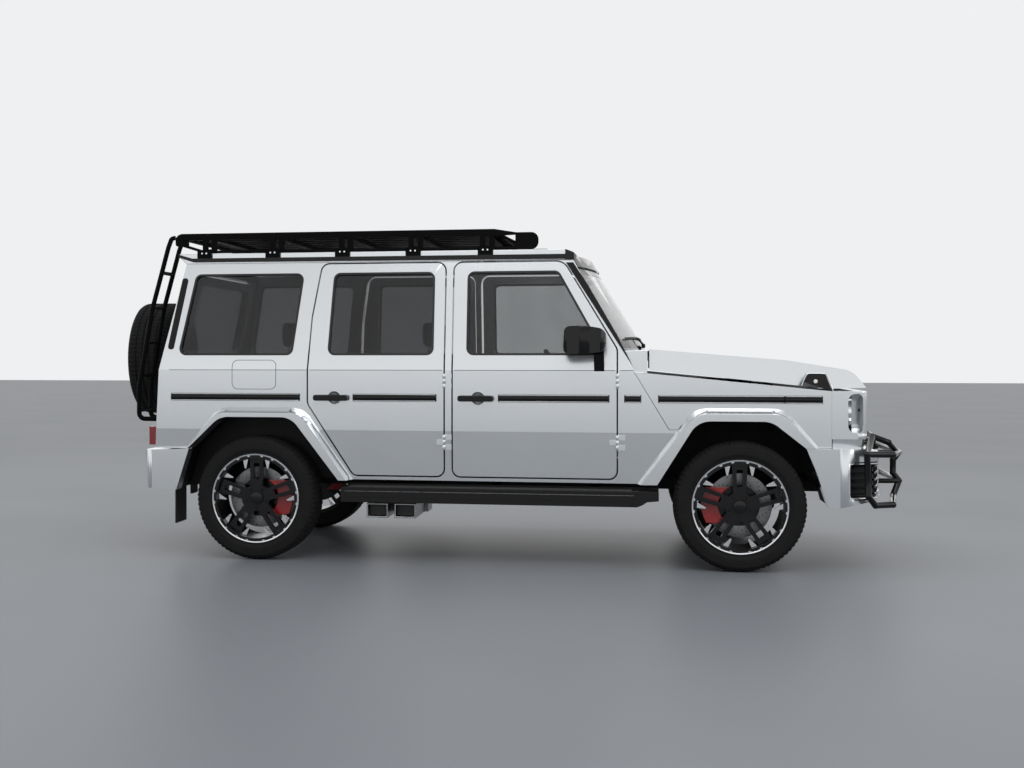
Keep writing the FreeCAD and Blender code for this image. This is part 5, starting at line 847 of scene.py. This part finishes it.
def indicator_trim():
    """A bright line round the smoked lamp on each wing, a pearl eye and a black foot."""
    low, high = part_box("indicators")
    x0, x1, z0, z1 = low.x, high.x, low.z, high.z
    edge = ((x0 - 0.004, z0 + 0.030), (x0 + 0.020, z1 + 0.001), (x0 + 0.05, z1 + 0.0015),
            (x1 - 0.055, z1 + 0.0015), (x1 - 0.03, z1 - 0.003), (x1 + 0.002, z0 + 0.008),
            (x1 + 0.002, z0 + 0.002))
    wires("indicator_edge", [(x, WING_SIDE, z) for x, z in edge], 0.0032, "bright")
    eye = [(0.0, -0.0022), (0.007, -0.002), (0.011, -0.0008), (0.012, 0.002)]
    middle = ((x0 + x1) / 2 - 0.01, WING_SIDE, (z0 + z1) / 2 + 0.006)
    both_sides("indicator_eye", lathe(eye, 36, middle), "pearl")
    foot = ((x0 - 0.036, z0 + 0.018), (x0 + 0.006, z0 + 0.020), (x1 + 0.002, z0 + 0.004),
            (x1 + 0.002, z0 - 0.006), (x0 - 0.030, z0 + 0.010))
    both_sides("indicator_foot", plate(foot, upright(WING_SIDE), -0.0006, 0.0294), "black_trim", bevel=0.0015)


headlamps()
indicator_trim()


# Side crease, drawn as a fine shadow line below the windows

for name, start, end, body in (("quarter", -2018, -1138, "body"), ("rear_door", -1118, -297, "door_rear_{}"),
                               ("front_door", -224, 733, "door_front_{}"), ("wing", 762, 838, "body")):
    rows = [[skin(along(x), CREASE_Z + dz, h) for x in (start, (start + end) / 2, end)]
            for dz, h in ((-0.0016, 0.0002), (0.0, 0.0009), (0.0016, 0.0002))]
    both_sides(f"crease_{name}", slab(rows, 0.0012), "rubber", body)


# Bumper intakes, meshes and parking sensors

DUCT_PLAN = [(2052, -948), (2215, -850), (2252, -690), (2268, -602), (2270, -535)]
SENSOR = [(0.0, 0.0012), (0.009, 0.001), (0.0105, -0.0005), (0.012, -0.0005), (0.012, -0.004)]


def inside(points, by):
    """A plan line moved towards the car by a distance in its own unit."""
    out = []
    for i, (x, y) in enumerate(points):
        x0, y0 = points[max(i - 1, 0)]
        x1, y1 = points[min(i + 1, len(points) - 1)]
        way = Vector((x1 - x0, y1 - y0)).normalized()
        out.append((x - way.y * by, y + way.x * by))
    return out


def duct(by, z):
    """The bumper corner's plan line moved in by millimetres, at a height."""
    return [Vector((along(x), y / 1000, z)) for x, y in inside(DUCT_PLAN, by)]


def side_intakes():
    """A dark panel, five louvres on three posts and a bright edge in each corner of the front bumper."""
    both_sides("side_intake_panel", slab([duct(32, 0.432), duct(32, 0.64)], 0.004), "black_trim")
    louvres = [slab([duct(12, 0.456 + 0.040 * k), duct(31, 0.465 + 0.040 * k)], 0.006) for k in range(5)]
    louvres += [block((p.x - 0.004, p.y - 0.008, 0.434), (p.x + 0.004, p.y + 0.008, 0.638))
                for p in duct(22, 0)[1:4]]
    both_sides("side_intake_louvres", louvres, "gloss_black", bevel=0.0012)
    wires("side_intake_edge", duct(4, 0.437) + duct(4, 0.634)[::-1], 0.0042, "bright", cyclic=True, order=2)


BAR_FACES = [(0, 1, 2, 3), (7, 6, 5, 4), (0, 4, 5, 1), (1, 5, 6, 2), (2, 6, 7, 3), (3, 7, 4, 0)]


def honeycomb(half, low, top, x, step, thick):
    """Crossed slanting bars filling a rectangle that faces forward."""
    bars = []
    height = top - low
    for k in range(int((2 * half + height) / step) + 1):
        y0 = -half - height + k * step
        a, b = max(-half, y0), min(half, y0 + height)
        if b - a < step / 2:
            continue
        for way, deep in ((1, 0.004), (-1, 0.003)):
            p = Vector((x, a * way, low + (a - y0)))
            q = Vector((x, b * way, low + (b - y0)))
            across = Vector((0, p.z - q.z, q.y - p.y)).normalized() * thick / 2
            verts = [p - across, p + across, q + across, q - across]
            verts += [v - Vector((deep, 0, 0)) for v in verts]
            bars.append((verts, BAR_FACES))
    return bars


def meshes():
    """Meshes behind the grille and the lower intake, the intake's bars and the parking sensors."""
    for name, sizes in (("intake_mesh", (0.462, 0.445, 0.635, along(2215), 0.026, 0.0032)),
                        ("grille_mesh", (0.405, 0.812, 1.018, along(2132), 0.019, 0.0024))):
        solid(name, honeycomb(*sizes), "gloss_black", smooth=False)
    bars = [beam(2196, 2222, (-0.462, z - 0.007), (0.462, z + 0.007)) for z in (0.505, 0.575)]
    solid("intake_bars", bars, "gloss_black", bevel=0.003)
    dots = []
    for node, way, z, places in (("front_bumper", 1, 0.672, (-0.52, -0.30, 0.30, 0.52)),
                                 ("rear_bumper", -1, 0.60, (-0.66, -0.26, 0.26, 0.66))):
        dots += [lathe(SENSOR, 28, where, axis="x", way=way)
                 for where in traced(node, [(3 * way, y, z) for y in places], (-way, 0, 0))]
    solid("park_sensors", dots, "paint")


side_intakes()
meshes()


# Windscreen edge and wipers

def screen_point(y, z, out=0.0):
    """A point on the windscreen's outer face, or none beside it."""
    where, normal = hit("fixed_glass", (1.8, y, z), (-1, 0, 0))
    if where is None:
        return None
    return where + normal * (out if normal.x > 0 else -out)


def screen_half(z):
    """Half the windscreen's width at a height, found by halving."""
    low, high = 0.5, 0.80
    for _ in range(14):
        middle = (low + high) / 2
        low, high = (low, middle) if screen_point(middle, z) is None else (middle, high)
    return low


SCREEN_LOW, SCREEN_TOP = 1.302, 1.778
BORDER_SIDE, BORDER_LOW, BORDER_TOP = 0.034, 0.045, 0.03


def windscreen_edge():
    """The black printed border round the windscreen, wider along the bottom."""
    z0, z1, rows = SCREEN_LOW, SCREEN_TOP, 10
    heights = [z0 + (z1 - z0) * k / rows for k in range(rows + 1)]
    side = [(screen_half(z) - 0.004, z) for z in heights]
    outer = [(-y, z) for y, z in side] + [(side[-1][0] * (2 * k / rows - 1), z1) for k in range(1, rows)]
    outer += side[::-1] + [(side[0][0] * (1 - 2 * k / rows), z0) for k in range(1, rows)]
    inner = [(y - math.copysign(BORDER_SIDE, y) if abs(y) > 0.3 else y,
              min(max(z, z0 + BORDER_LOW), z1 - BORDER_TOP)) for y, z in outer]
    solid("windscreen_border", band(outer, inner, screen_point, 0.0004, 0.0016), "gloss_black", smooth=False)


def wipers():
    """Two parked wipers: arms from the cowl, with long blades just off the glass."""
    arms, blades = [], []
    for start, end, pivot in ((-0.665, -0.085, -0.30), (0.035, 0.615, 0.40)):
        middle = (start + end) / 2
        bow = [(start + (end - start) * k / 8, 0.006 * math.sin(math.pi * k / 8)) for k in range(9)]
        rows = [[screen_point(y, z + rise, out) for y, rise in bow]
                for z, out in ((1.345, 0.004), (1.351, 0.012), (1.359, 0.010))]
        blades.append(slab(rows, 0.004))
        knee = (pivot + middle) / 2 - 0.02
        arms.append([screen_point(pivot, 1.305, 0.018), screen_point(knee, 1.325, 0.026),
                     screen_point(middle, 1.353, 0.015)])
    solid("wiper_blades", blades, "rubber", bevel=0.001)
    cap = [(0.0, 0.010), (0.010, 0.009), (0.014, 0.004), (0.014, -0.014)]
    for i, points in enumerate(arms):
        wire(f"wiper_arm_{i}", points, 0.0065, "black_trim")
        solid(f"wiper_pivot_{i}", lathe(cap, 28, points[0], axis="x"), "black_trim")


windscreen_edge()
wipers()


# Mirror glass

MIRROR_FACE = 0.527


def mirror_details():
    """The glass and its rubber rim in each mirror's rear face."""
    low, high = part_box("mirror_right")
    y0, y1, z0, z1 = low.y + 0.020, low.y + 0.140, 1.298, high.z - 0.030
    points = dense(rounded([(y0, z0, 0.02), (y1, z0, 0.02), (y1, z1, 0.02), (y0, z1, 0.03)]), 0.02)
    middle = Vector((low.y + 0.08, 1.35))
    inner = [p + (middle - p).normalized() * 0.004 for p in points]
    face = facing(MIRROR_FACE, -1)
    glass_verts, glass_faces = plate(points, face, -0.002, 0.0)
    rim_verts, rim_faces = band(points, inner, face, -0.001, 0.0012)
    for side in SIGNS:
        body = f"door_front_{side}"
        solid(f"mirror_glass_{side}", (on_side(side, glass_verts), glass_faces), "mirror", body, bevel=0.0005)
        solid(f"mirror_rim_{side}", (on_side(side, rim_verts), rim_faces), "rubber", body)


mirror_details()


# Nose corners

LAMP_LOW, LAMP_TOP = 0.809, 1.033
NOSE_ROUND = 0.055
NICHE_FILLET = 0.035
NICHE_WALL = [(2.2465, -0.826), (2.238, -0.812), (2.218, -0.793), (2.196, -0.776), (2.176, -0.768)]


def nose_apron():
    """The slanted painted foot of the nose, down to the bumper's shoulder."""
    plan = traced("nose_panel", [(2.056 + 0.021 * k, -3.0, 0.79) for k in range(9)], (0, 1, 0))
    plan += traced("nose_panel", [(4.0, -0.80 + 0.80 * k / 14, 0.785) for k in range(15)], (-1, 0, 0))
    plan = [(p.x, p.y) for p in plan] + [(p.x, -p.y) for p in plan[-2::-1]]
    rows = [[Vector((x, y, z)) for x, y in inside(plan, by)]
            for z, by in ((0.7765, 0.004), (0.760, 0.006), (0.740, 0.009), (0.716, 0.013), (0.690, 0.015))]
    solid("nose_apron", slab(rows, -0.003), "paint")


def lamp_cheeks():
    """The painted strip and curved wall that close each lamp niche, with a round sensor."""
    turn = Vector((2.250 - NOSE_ROUND, -BODY_HALF + NOSE_ROUND))
    radius = NOSE_ROUND - 0.0005
    rows = []
    for k in range(21):
        z = LAMP_LOW - 0.004 + (LAMP_TOP - LAMP_LOW + 0.008) * k / 20
        near = max(0.0, min(z - LAMP_LOW, LAMP_TOP - z))
        rise = 0.0 if near >= NICHE_FILLET else 1 - math.sqrt(max(0.0, 1 - (1 - near / NICHE_FILLET) ** 2))
        angles = [(60 + 30 * rise) * share for share in (1, 0.8, 0.6, 0.4, 0.2)] + [3]
        line = [(turn.x + radius * math.cos(a), turn.y - radius * math.sin(a))
                for a in map(math.radians, angles)]
        rows.append([Vector((x, y, z)) for x, y in line + NICHE_WALL])
    both_sides("lamp_cheek", slab(rows, -0.003), "paint")
    spot = Vector((2.214, -0.7935, 0.938))
    out = Vector((0.62, -0.78, 0)).normalized()
    across = Vector((0.78, 0.62, 0)).normalized()

    def wall(u, v, h):
        return spot + across * u + Vector((0, 0, v)) + out * h
    sensor = plate(circle(0.0085, 24), wall, -0.003, 0.0012)
    both_sides("niche_sensor", sensor, "gloss_black", bevel=0.0006)


nose_apron()
lamp_cheeks()


# Seats

ACROSS = Vector((0, 1, 0))
SIDE_PULL = 0.035
CHANNELS = (-0.62, -0.3, 0.02, 0.34, 0.66)
SEAT_ZONES = ((-0.213, 0.047, 0.018), (0.0, 0.164, 0.0), (0.213, 0.047, 0.018))
BENCH_ZONES = ((-0.410, 0.200, 0.0), (0.0, 0.203, 0.0), (0.410, 0.200, 0.0))


def pillow(centre, u_way, v_way, half_u, half_v, thick, channels=(), crown=0.5, cells=26):
    """A crowned closed cushion whose sides pull in between its corners, with sewn channels."""
    centre, u_way, v_way = Vector(centre), Vector(u_way).normalized(), Vector(v_way).normalized()
    up = u_way.cross(v_way).normalized()
    spread = [math.sin(math.pi / 2 * (2 * i / cells - 1)) for i in range(cells + 1)]
    verts = []
    for face in (1, -1):
        for s in spread:
            for t in spread:
                edge = max(0.0, 1 - abs(s) ** 6) ** 0.5 * max(0.0, 1 - abs(t) ** 6) ** 0.5
                height = thick / 2 * edge * (1 - crown * 0.35 + crown * 0.35 * (1 - s * s) * (1 - t * t))
                if face > 0:
                    seams = [(s - line, 0.035, 0.006) for line in channels]
                    seams += [(abs(t) - 0.88, 0.03, 0.003), (abs(s) - 0.93, 0.025, 0.003)]
                    height -= sum(deep * edge * math.exp(-(off / wide) ** 2) for off, wide, deep in seams)
                corner = 1 - 0.08 * (abs(s) * abs(t)) ** 8
                u = half_u * s * (1 - SIDE_PULL * (1 - t * t) * abs(s) ** 3) * corner
                v = half_v * t * (1 - SIDE_PULL * (1 - s * s) * abs(t) ** 3) * corner
                verts.append(centre + u_way * u + v_way * v + up * (height * face))
    row = cells + 1
    size = row * row
    faces = []
    for a in (i * row + j for i in range(cells) for j in range(cells)):
        faces.append((a, a + row, a + row + 1, a + 1))
        faces.append((size + a, size + a + 1, size + a + row + 1, size + a + row))
    return verts, faces


def sewn(name, parts):
    piece = solid(name, parts, "seat")
    return piece


def seat(name, front, y, width, zones, rests):
    """One seat: cushions with bolsters, a back in the same zones, head rests on rods and a plinth."""
    rear = front - 500
    lean = (-0.075, 0, 0.549)
    for i, (middle, half, proud) in enumerate(zones):
        base = (along(rear + 285), y + middle, 0.766 + proud)
        flat = pillow(base, (1, 0, 0.05), ACROSS, 0.214, half, 0.122 - proud, () if proud else CHANNELS)
        cushion = sewn(f"{name}_cushion_{i}", flat)
        if name == "seat_right" and i == 0:
            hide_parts("seats")
        spot = (along(rear + 24) + proud * 0.8, y + middle, 1.005)
        sewn(f"{name}_back_{i}", pillow(spot, ACROSS, lean, half, 0.272, 0.100 - proud))
    for i, middle in enumerate(rests):
        spot = Vector((along(rear - 26), y + middle, 1.387))
        rest = pillow(spot, ACROSS, (-0.03, 0, 1), 0.124, 0.080, 0.088, crown=0.8, cells=18)
        sewn(f"{name}_rest_{i}", rest)
        for label, way in (("a", -1), ("b", 1)):
            rod = [spot + Vector((0, way * 0.0625, -0.15 + rise)) for rise in (0, 0.045, 0.09)]
            wire(f"{name}_rod_{i}_{label}", rod, 0.006, "bright")
    half = width / 2
    thirds = [k / 3 for k in range(-3, 4)]
    shell = [[Vector((along(rear - back + 14 * s * s), y + (half - 0.022) * s, z)) for s in thirds]
             for z, back in ((0.735, 36), (0.86, 54), (1.0, 62), (1.15, 78), (1.262, 84))]
    solid(f"{name}_shell", slab(shell, 0.006), "interior", bevel=0.002)
    plinth = [beam(rear + 62, front - 62, (y - half + 0.062, 0.530), (y + half - 0.062, 0.705))]
    for rail in (y - half + 0.09, y + half - 0.09):
        plinth.append(beam(rear + 30, front - 30, (rail - 0.018, 0.530), (rail + 0.018, 0.556)))
    solid(f"{name}_plinth", plinth, "interior", bevel=0.010, segments=3)


seat("seat_right", 80, -0.370, 0.52, SEAT_ZONES, (0.0,))
seat("seat_left", 80, 0.370, 0.52, SEAT_ZONES, (0.0,))
seat("bench", -830, 0.0, 1.23, BENCH_ZONES, (-0.400, 0.0, 0.400))


# Dashboard, steering wheel and console

VENT = [(0.044, 0.012), (0.044, -0.004), (0.041, -0.006), (0.037, -0.004), (0.037, 0.012)]
VENT_Z = 1.085
KNOB = [(0.0, 0.012), (0.014, 0.011), (0.017, 0.007), (0.018, -0.008)]
WHEEL_TILT = math.radians(62)
WHEEL_PAD = [(-0.062, -0.055, 0.03), (0.062, -0.055, 0.03), (0.075, 0.035, 0.03), (-0.075, 0.035, 0.03)]
WHEEL_SPOKES = (((0.055, -0.014), (0.176, -0.012), (0.176, 0.022), (0.055, 0.020)),
                ((-0.176, -0.012), (-0.055, -0.014), (-0.055, 0.020), (-0.176, 0.022)),
                ((-0.022, -0.176), (0.022, -0.176), (0.026, -0.048), (-0.026, -0.048)))


def dash():
    """The wide screen, the vents and the console's lids and knob."""
    x = along(470)
    screens = plate(rounded(rectangle(-0.06, 1.196, 0.60, 1.292, 0.008)), facing(x + 0.060, -1), -0.012, 0.0)
    solid("dash_screens", screens, "screen", bevel=0.002)
    places = (-0.62, -0.09, 0.09, 0.64)
    slats = [block((x - 0.001, y - 0.034, VENT_Z + dz - 0.0022), (x + 0.010, y + 0.034, VENT_Z + dz + 0.0022))
             for y in places for dz in (-0.018, -0.006, 0.006, 0.018)]
    solid("dash_vent_rings", [lathe(VENT, 40, (x + 0.002, y, VENT_Z), axis="x") for y in places], "bright")
    solid("dash_vent_slats", slats, "black_trim", bevel=0.0006)
    lids = [beam(-96, 120, (-0.088, 0.816), (0.088, 0.832)), beam(160, 330, (-0.070, 0.816), (0.070, 0.822))]
    solid("console_lids", lids, "interior", bevel=0.006, segments=3)
    solid("console_knob", lathe(KNOB, 36, (along(245), 0, 0.831), axis="z"), "bright")


def steering_wheel():
    """The pad and spokes inside the steering wheel's ring."""
    hub = Vector((along(330), 0.370, 1.120))
    out = Vector((-math.sin(WHEEL_TILT), 0, math.cos(WHEEL_TILT)))
    up = Vector((math.cos(WHEEL_TILT), 0, math.sin(WHEEL_TILT)))

    def face(u, v, h):
        return hub + ACROSS * u + up * v + out * h
    solid("steering_pad", plate(dense(rounded(WHEEL_PAD), 0.02), face, -0.012, 0.024), "interior",
          bevel=0.008, segments=3)
    spokes = [plate(rounded([(u, v, 0.004) for u, v in shape]), face, 0.004, 0.019) for shape in WHEEL_SPOKES]
    solid("steering_spokes", spokes, "bright", bevel=0.002)


dash()
steering_wheel()


# Door cards

SPEAKER = [(0.0, 0.0125), (0.055, 0.0115), (0.066, 0.013), (0.070, 0.0125), (0.071, 0.006)]


CARD_DEEP = 0.0655


def card(name, x0, x1, rest_start, rest_end):
    """The inner trim of a door, with an armrest, a pull, a pocket and a loudspeaker."""
    body = f"door_{name}_{{}}"
    a, b = along(rest_start), along(rest_end)

    def inner(u, v, h):
        above = max(0.0, v - CREASE_Z)
        return skin(u, min(v, CREASE_Z)) + Vector((0, CARD_DEEP + h + above * LEAN, above))
    panel = plate(dense(rounded(in_frame(rectangle(x0, 585, x1, 1215, 40, 20))), 0.05), inner, 0.0, 0.009)
    both_sides(f"card_{name}", panel, "interior", body, bevel=0.003)
    rest = dense(rounded([(a, 0.900, 0.02), (b, 0.900, 0.03), (b, 0.962, 0.02), (a, 0.972, 0.03)]), 0.03)
    rest = plate(rest, inner, 0.008, 0.044)
    both_sides(f"card_rest_{name}", rest, "interior", body, bevel=0.012, segments=3)
    speaker = lathe(SPEAKER, 56, inner(along((x0 + x1) / 2 + 60), 0.74, 0))
    both_sides(f"card_speaker_{name}", speaker, "black_trim", body)
    pocket = in_frame([(x0 + 60, 605, 20), (x1 - 60, 605, 20), (x1 - 70, 655, 20), (x0 + 70, 655, 20)])
    pocket = plate(rounded(pocket), inner, 0.008, 0.030)
    both_sides(f"card_pocket_{name}", pocket, "interior", body, bevel=0.006)
    line = [inner(a - 0.02, 1.085, 0.0125), inner((a + b) / 2, 1.10, 0.0125), inner(b + 0.02, 1.09, 0.0125)]
    pull = [inner(b - 0.15, 1.035, 0.012), inner(b - 0.13, 1.038, 0.030), inner(b - 0.07, 1.040, 0.030),
            inner(b - 0.05, 1.038, 0.012)]
    for side in SIGNS:
        wire(f"card_line_{name}_{side}", on_side(side, line), 0.0022, "bright", body.format(side))
        wire(f"card_pull_{name}_{side}", on_side(side, pull), 0.006, "bright", body.format(side))


def gate_card():
    """The tailgate's inner trim with a pull strap."""
    rays = [(-1.0, -0.60 + 0.1 * k, z) for z in (0.78, 0.86, 0.95, 1.04, 1.13, 1.20) for k in range(13)]
    x = max(where.x for where in traced("tailgate", rays, (-1, 0, 0))) + 0.007
    points = dense(rounded(rectangle(-0.60, 0.78, 0.60, 1.20, 0.04, 0.03)), 0.06)
    solid("gate_card", plate(points, facing(x), -0.004, 0.005), "interior", "tailgate", bevel=0.002)
    strap = [(x + out, y, 0.95) for out, y in ((0.004, 0.40), (0.022, 0.42), (0.022, 0.50), (0.004, 0.52))]
    wire("gate_strap", strap, 0.007, "black_trim", "tailgate")


card("front", -180, 690, -90, 380)
card("rear", -800, -335, -740, -420)
gate_card()


# Brake discs: a machined ring whose cross holes are dark dots of painted shade, with heights outward from the
# middle of the wheel

DISC_RING = [(0.120, 0.0115), (0.120, 0.0128), (0.1215, 0.0132), (0.186, 0.0132), (0.1875, 0.0128),
             (0.1875, 0.0115)]
DISC_HOLE_SHADE = [(0.0, 0.0135), (0.0036, 0.0135), (0.0042, 0.0131)]
for corner, centre in CORNERS.items():
    way, body = OUTWARD[corner], f"wheel_{corner}"
    solid(f"disc_ring_{corner}", lathe(DISC_RING, 96, centre, way=way), "iron", body)
    holes = []
    for k in range(12):
        for i, radius in enumerate((0.132, 0.146, 0.160, 0.174)):
            a = 2 * math.pi * k / 12 + 0.13 * i
            spot = centre + Vector((radius * math.cos(a), 0, radius * math.sin(a)))
            holes.append(lathe(DISC_HOLE_SHADE, 8, spot, way=way))
    # The holes are not cut: each dark dot on the ring's face is painted shade standing for a hole's depth.
    solid(f"disc_hole_shades_{corner}", holes, "soot", body, smooth=False)


# Running boards, exhaust tips and ladder hooks

BOARD_FLAP = [(846, 0.462), (842, 0.438), (833, 0.405), (822, 0.378), (842, 0.3675), (864, 0.3690),
              (892, 0.381), (917, 0.3985), (985, 0.405), (985, 0.458), (922, 0.462)]


def board_details():
    """Ribs, end plates and lines of the running board, the strip under the sill and the front end's flap."""
    ribs = [beam(-870, 830, (-0.954 + 0.026 * k, 0.456), (-0.942 + 0.026 * k, 0.4635)) for k in range(5)]
    both_sides("board_ribs", ribs, "rubber", bevel=0.002)
    end = rounded([(-0.963, 0.374, 0.02), (-0.80, 0.374, 0.02), (-0.80, 0.457, 0.01), (-0.963, 0.457, 0.02)])
    ends = [plate(end, facing(along(x)), -0.004, 0.004) for x in (-903, 860)]
    both_sides("board_ends", ends, "gloss_black", bevel=0.001)
    low = beam(-880, 842, (-0.9655, 0.3985), (-0.9625, 0.4015))
    both_sides("board_line_low", low, "gloss_black", bevel=0.0006)
    high = beam(-880, 842, (-0.9660, 0.4335), (-0.9625, 0.4370))
    both_sides("board_line_high", high, "steel", bevel=0.0006)
    closing = beam(-872, 985, (-0.842, 0.425), (-0.836, 0.474))
    both_sides("sill_closing", closing, "black_trim", bevel=0.001)
    flap = plate([(along(x), z) for x, z in BOARD_FLAP], upright(-0.968), 0.0, 0.075)
    both_sides("board_flap", flap, "black_trim", bevel=0.005, segments=3)


TIP_FACE = 0.9375


def tip_details():
    """A bright rolled edge for each exhaust tip, and a dark liner deep in it for soot and painted shade."""
    def mouth(u, v, h):
        return Vector((u, -TIP_FACE - h, v))
    edges, liners = [], []
    for x in (along(-685), along(-515)):
        outline = rectangle(x - 0.065, 0.275, x + 0.065, 0.361, 0.012)
        edges.append(band(rounded(outline), rounded(moved_in(outline, 0.0075)), mouth, -0.012, 0.0004))
        liners.append(plate(rounded(moved_in(outline, 0.010)), mouth, -0.050, -0.047))
    both_sides("tip_edges", edges, "bright", bevel=0.002)
    # The dark liner is partly soot and partly painted shade deep inside the pipe.
    both_sides("tip_liners", liners, "soot")


def ladder_hooks():
    """The rails' upper ends bent forward over the roof's rear edge."""
    for number, y in enumerate((-0.62, -0.40)):
        bend = [(-2.009, y, 1.990), (-2.006, y, 2.001), (-1.994, y, 2.009), (-1.977, y, 2.011)]
        wire(f"ladder_hook_{number}", bend, 0.0148, "rack_black", "tailgate")


board_details()
tip_details()
ladder_hooks()


# Tail lamps, cowl and intake liner

lamp_x, lamp_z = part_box("tail_lamps")[0].xz
bars = [block((lamp_x, -0.8715, z), (lamp_x + 0.004, -0.798, z + 0.022))
        for z in (lamp_z + 0.012 + 0.034 * k for k in range(3))]
both_sides("tail_lamp_bars", bars, "lamp_red", bevel=0.0018)
cheek = [(0.880, 1.150), (1.0105, 1.150), (1.0105, 1.287), (0.875, 1.283)]
both_sides("cowl_cheek", plate(cheek, upright(-0.800), 0.0, 0.064), "paint", bevel=0.004)


def intake_liner():
    """Thin walls that line the lower intake."""
    back, front, side, low, top, thick = 2.2728, 2.348, 0.4695, 0.4405, 0.6395, 0.003
    walls = [block((back, -side, low), (back + thick, side, top)),
             block((back, -side, top - thick), (front, side, top)),
             block((back, -side, low), (front, side, low + thick)),
             block((back, -side, low), (front, thick - side, top)),
             block((back, side - thick, low), (front, side, top))]
    solid("intake_liner", walls, "black_trim", bevel=0.0008)


intake_liner()


# Engine bay

ENGINE_TOP = 1.080


def engine_bay():
    """A ribbed cover, two intake pipes, the battery and a fuse box."""
    def level(u, v, h):
        return Vector((u, v, ENGINE_TOP + h))
    cover = rounded([(1.12, -0.21, 0.04), (1.66, -0.19, 0.04), (1.66, 0.19, 0.04), (1.12, 0.21, 0.04)])
    ribs = [plate(rounded(rectangle(1.18, y - 0.011, 1.60, y + 0.011, 0.006)), level, 0.018, 0.026)
            for y in (-0.13, -0.065, 0, 0.065, 0.13)]
    solid("engine_cover", plate(cover, level, 0.0, 0.020), "interior", bevel=0.006, segments=3)
    solid("engine_ribs", ribs, "cast", bevel=0.002)
    pipe = [(1.22, -0.27, 1.02), (1.36, -0.33, 1.03), (1.66, -0.35, 1.00), (1.92, -0.33, 0.96),
            (2.13, -0.30, 0.93)]
    wires("intake_pipe", pipe, 0.032, "black_trim")
    boxes = [block((1.43, 0.47, 0.893), (1.63, 0.68, 1.02)), block((1.43, -0.66, 0.893), (1.61, -0.47, 1.00))]
    lids = [block((1.425, 0.465, 1.006), (1.635, 0.685, 1.026)),
            block((1.425, -0.665, 0.986), (1.615, -0.465, 1.006))]
    solid("bay_boxes", boxes, "interior", bevel=0.005)
    solid("bay_lids", lids, "black_trim", bevel=0.006, segments=3)


def bonnet_liner():
    """The quilted felt under the bonnet."""
    rows = []
    for i in range(31):
        row = []
        for j in range(37):
            where, _ = hit("bonnet", (1.13 + 0.027 * i, -0.594 + 0.033 * j, 0.95), (0, 0, 1))
            dimple = 0.004 * abs(math.sin(i * math.pi / 5) * math.sin(j * math.pi / 6)) ** 0.5
            row.append(where - Vector((0, 0, 0.003 + dimple)))
        rows.append(row)
    solid("bonnet_liner", slab(rows, -0.002), "interior", "bonnet")


engine_bay()
bonnet_liner()


# Rack bolts

places = [(along(x) + dx, -2.0, 1.895) for x in (-1816, -1374, -931, -489, -45) for dx in (-0.014, 0.014)]
head = [(0.0, -0.004), (0.0055, -0.004), (0.007, -0.002), (0.007, 0.002)]
heads = [lathe(head, 6, where) for where in traced("roof_rack", places, (0, 1, 0)) if where.y < -0.6]
both_sides("rack_bolts", heads, "bolt", smooth=False)
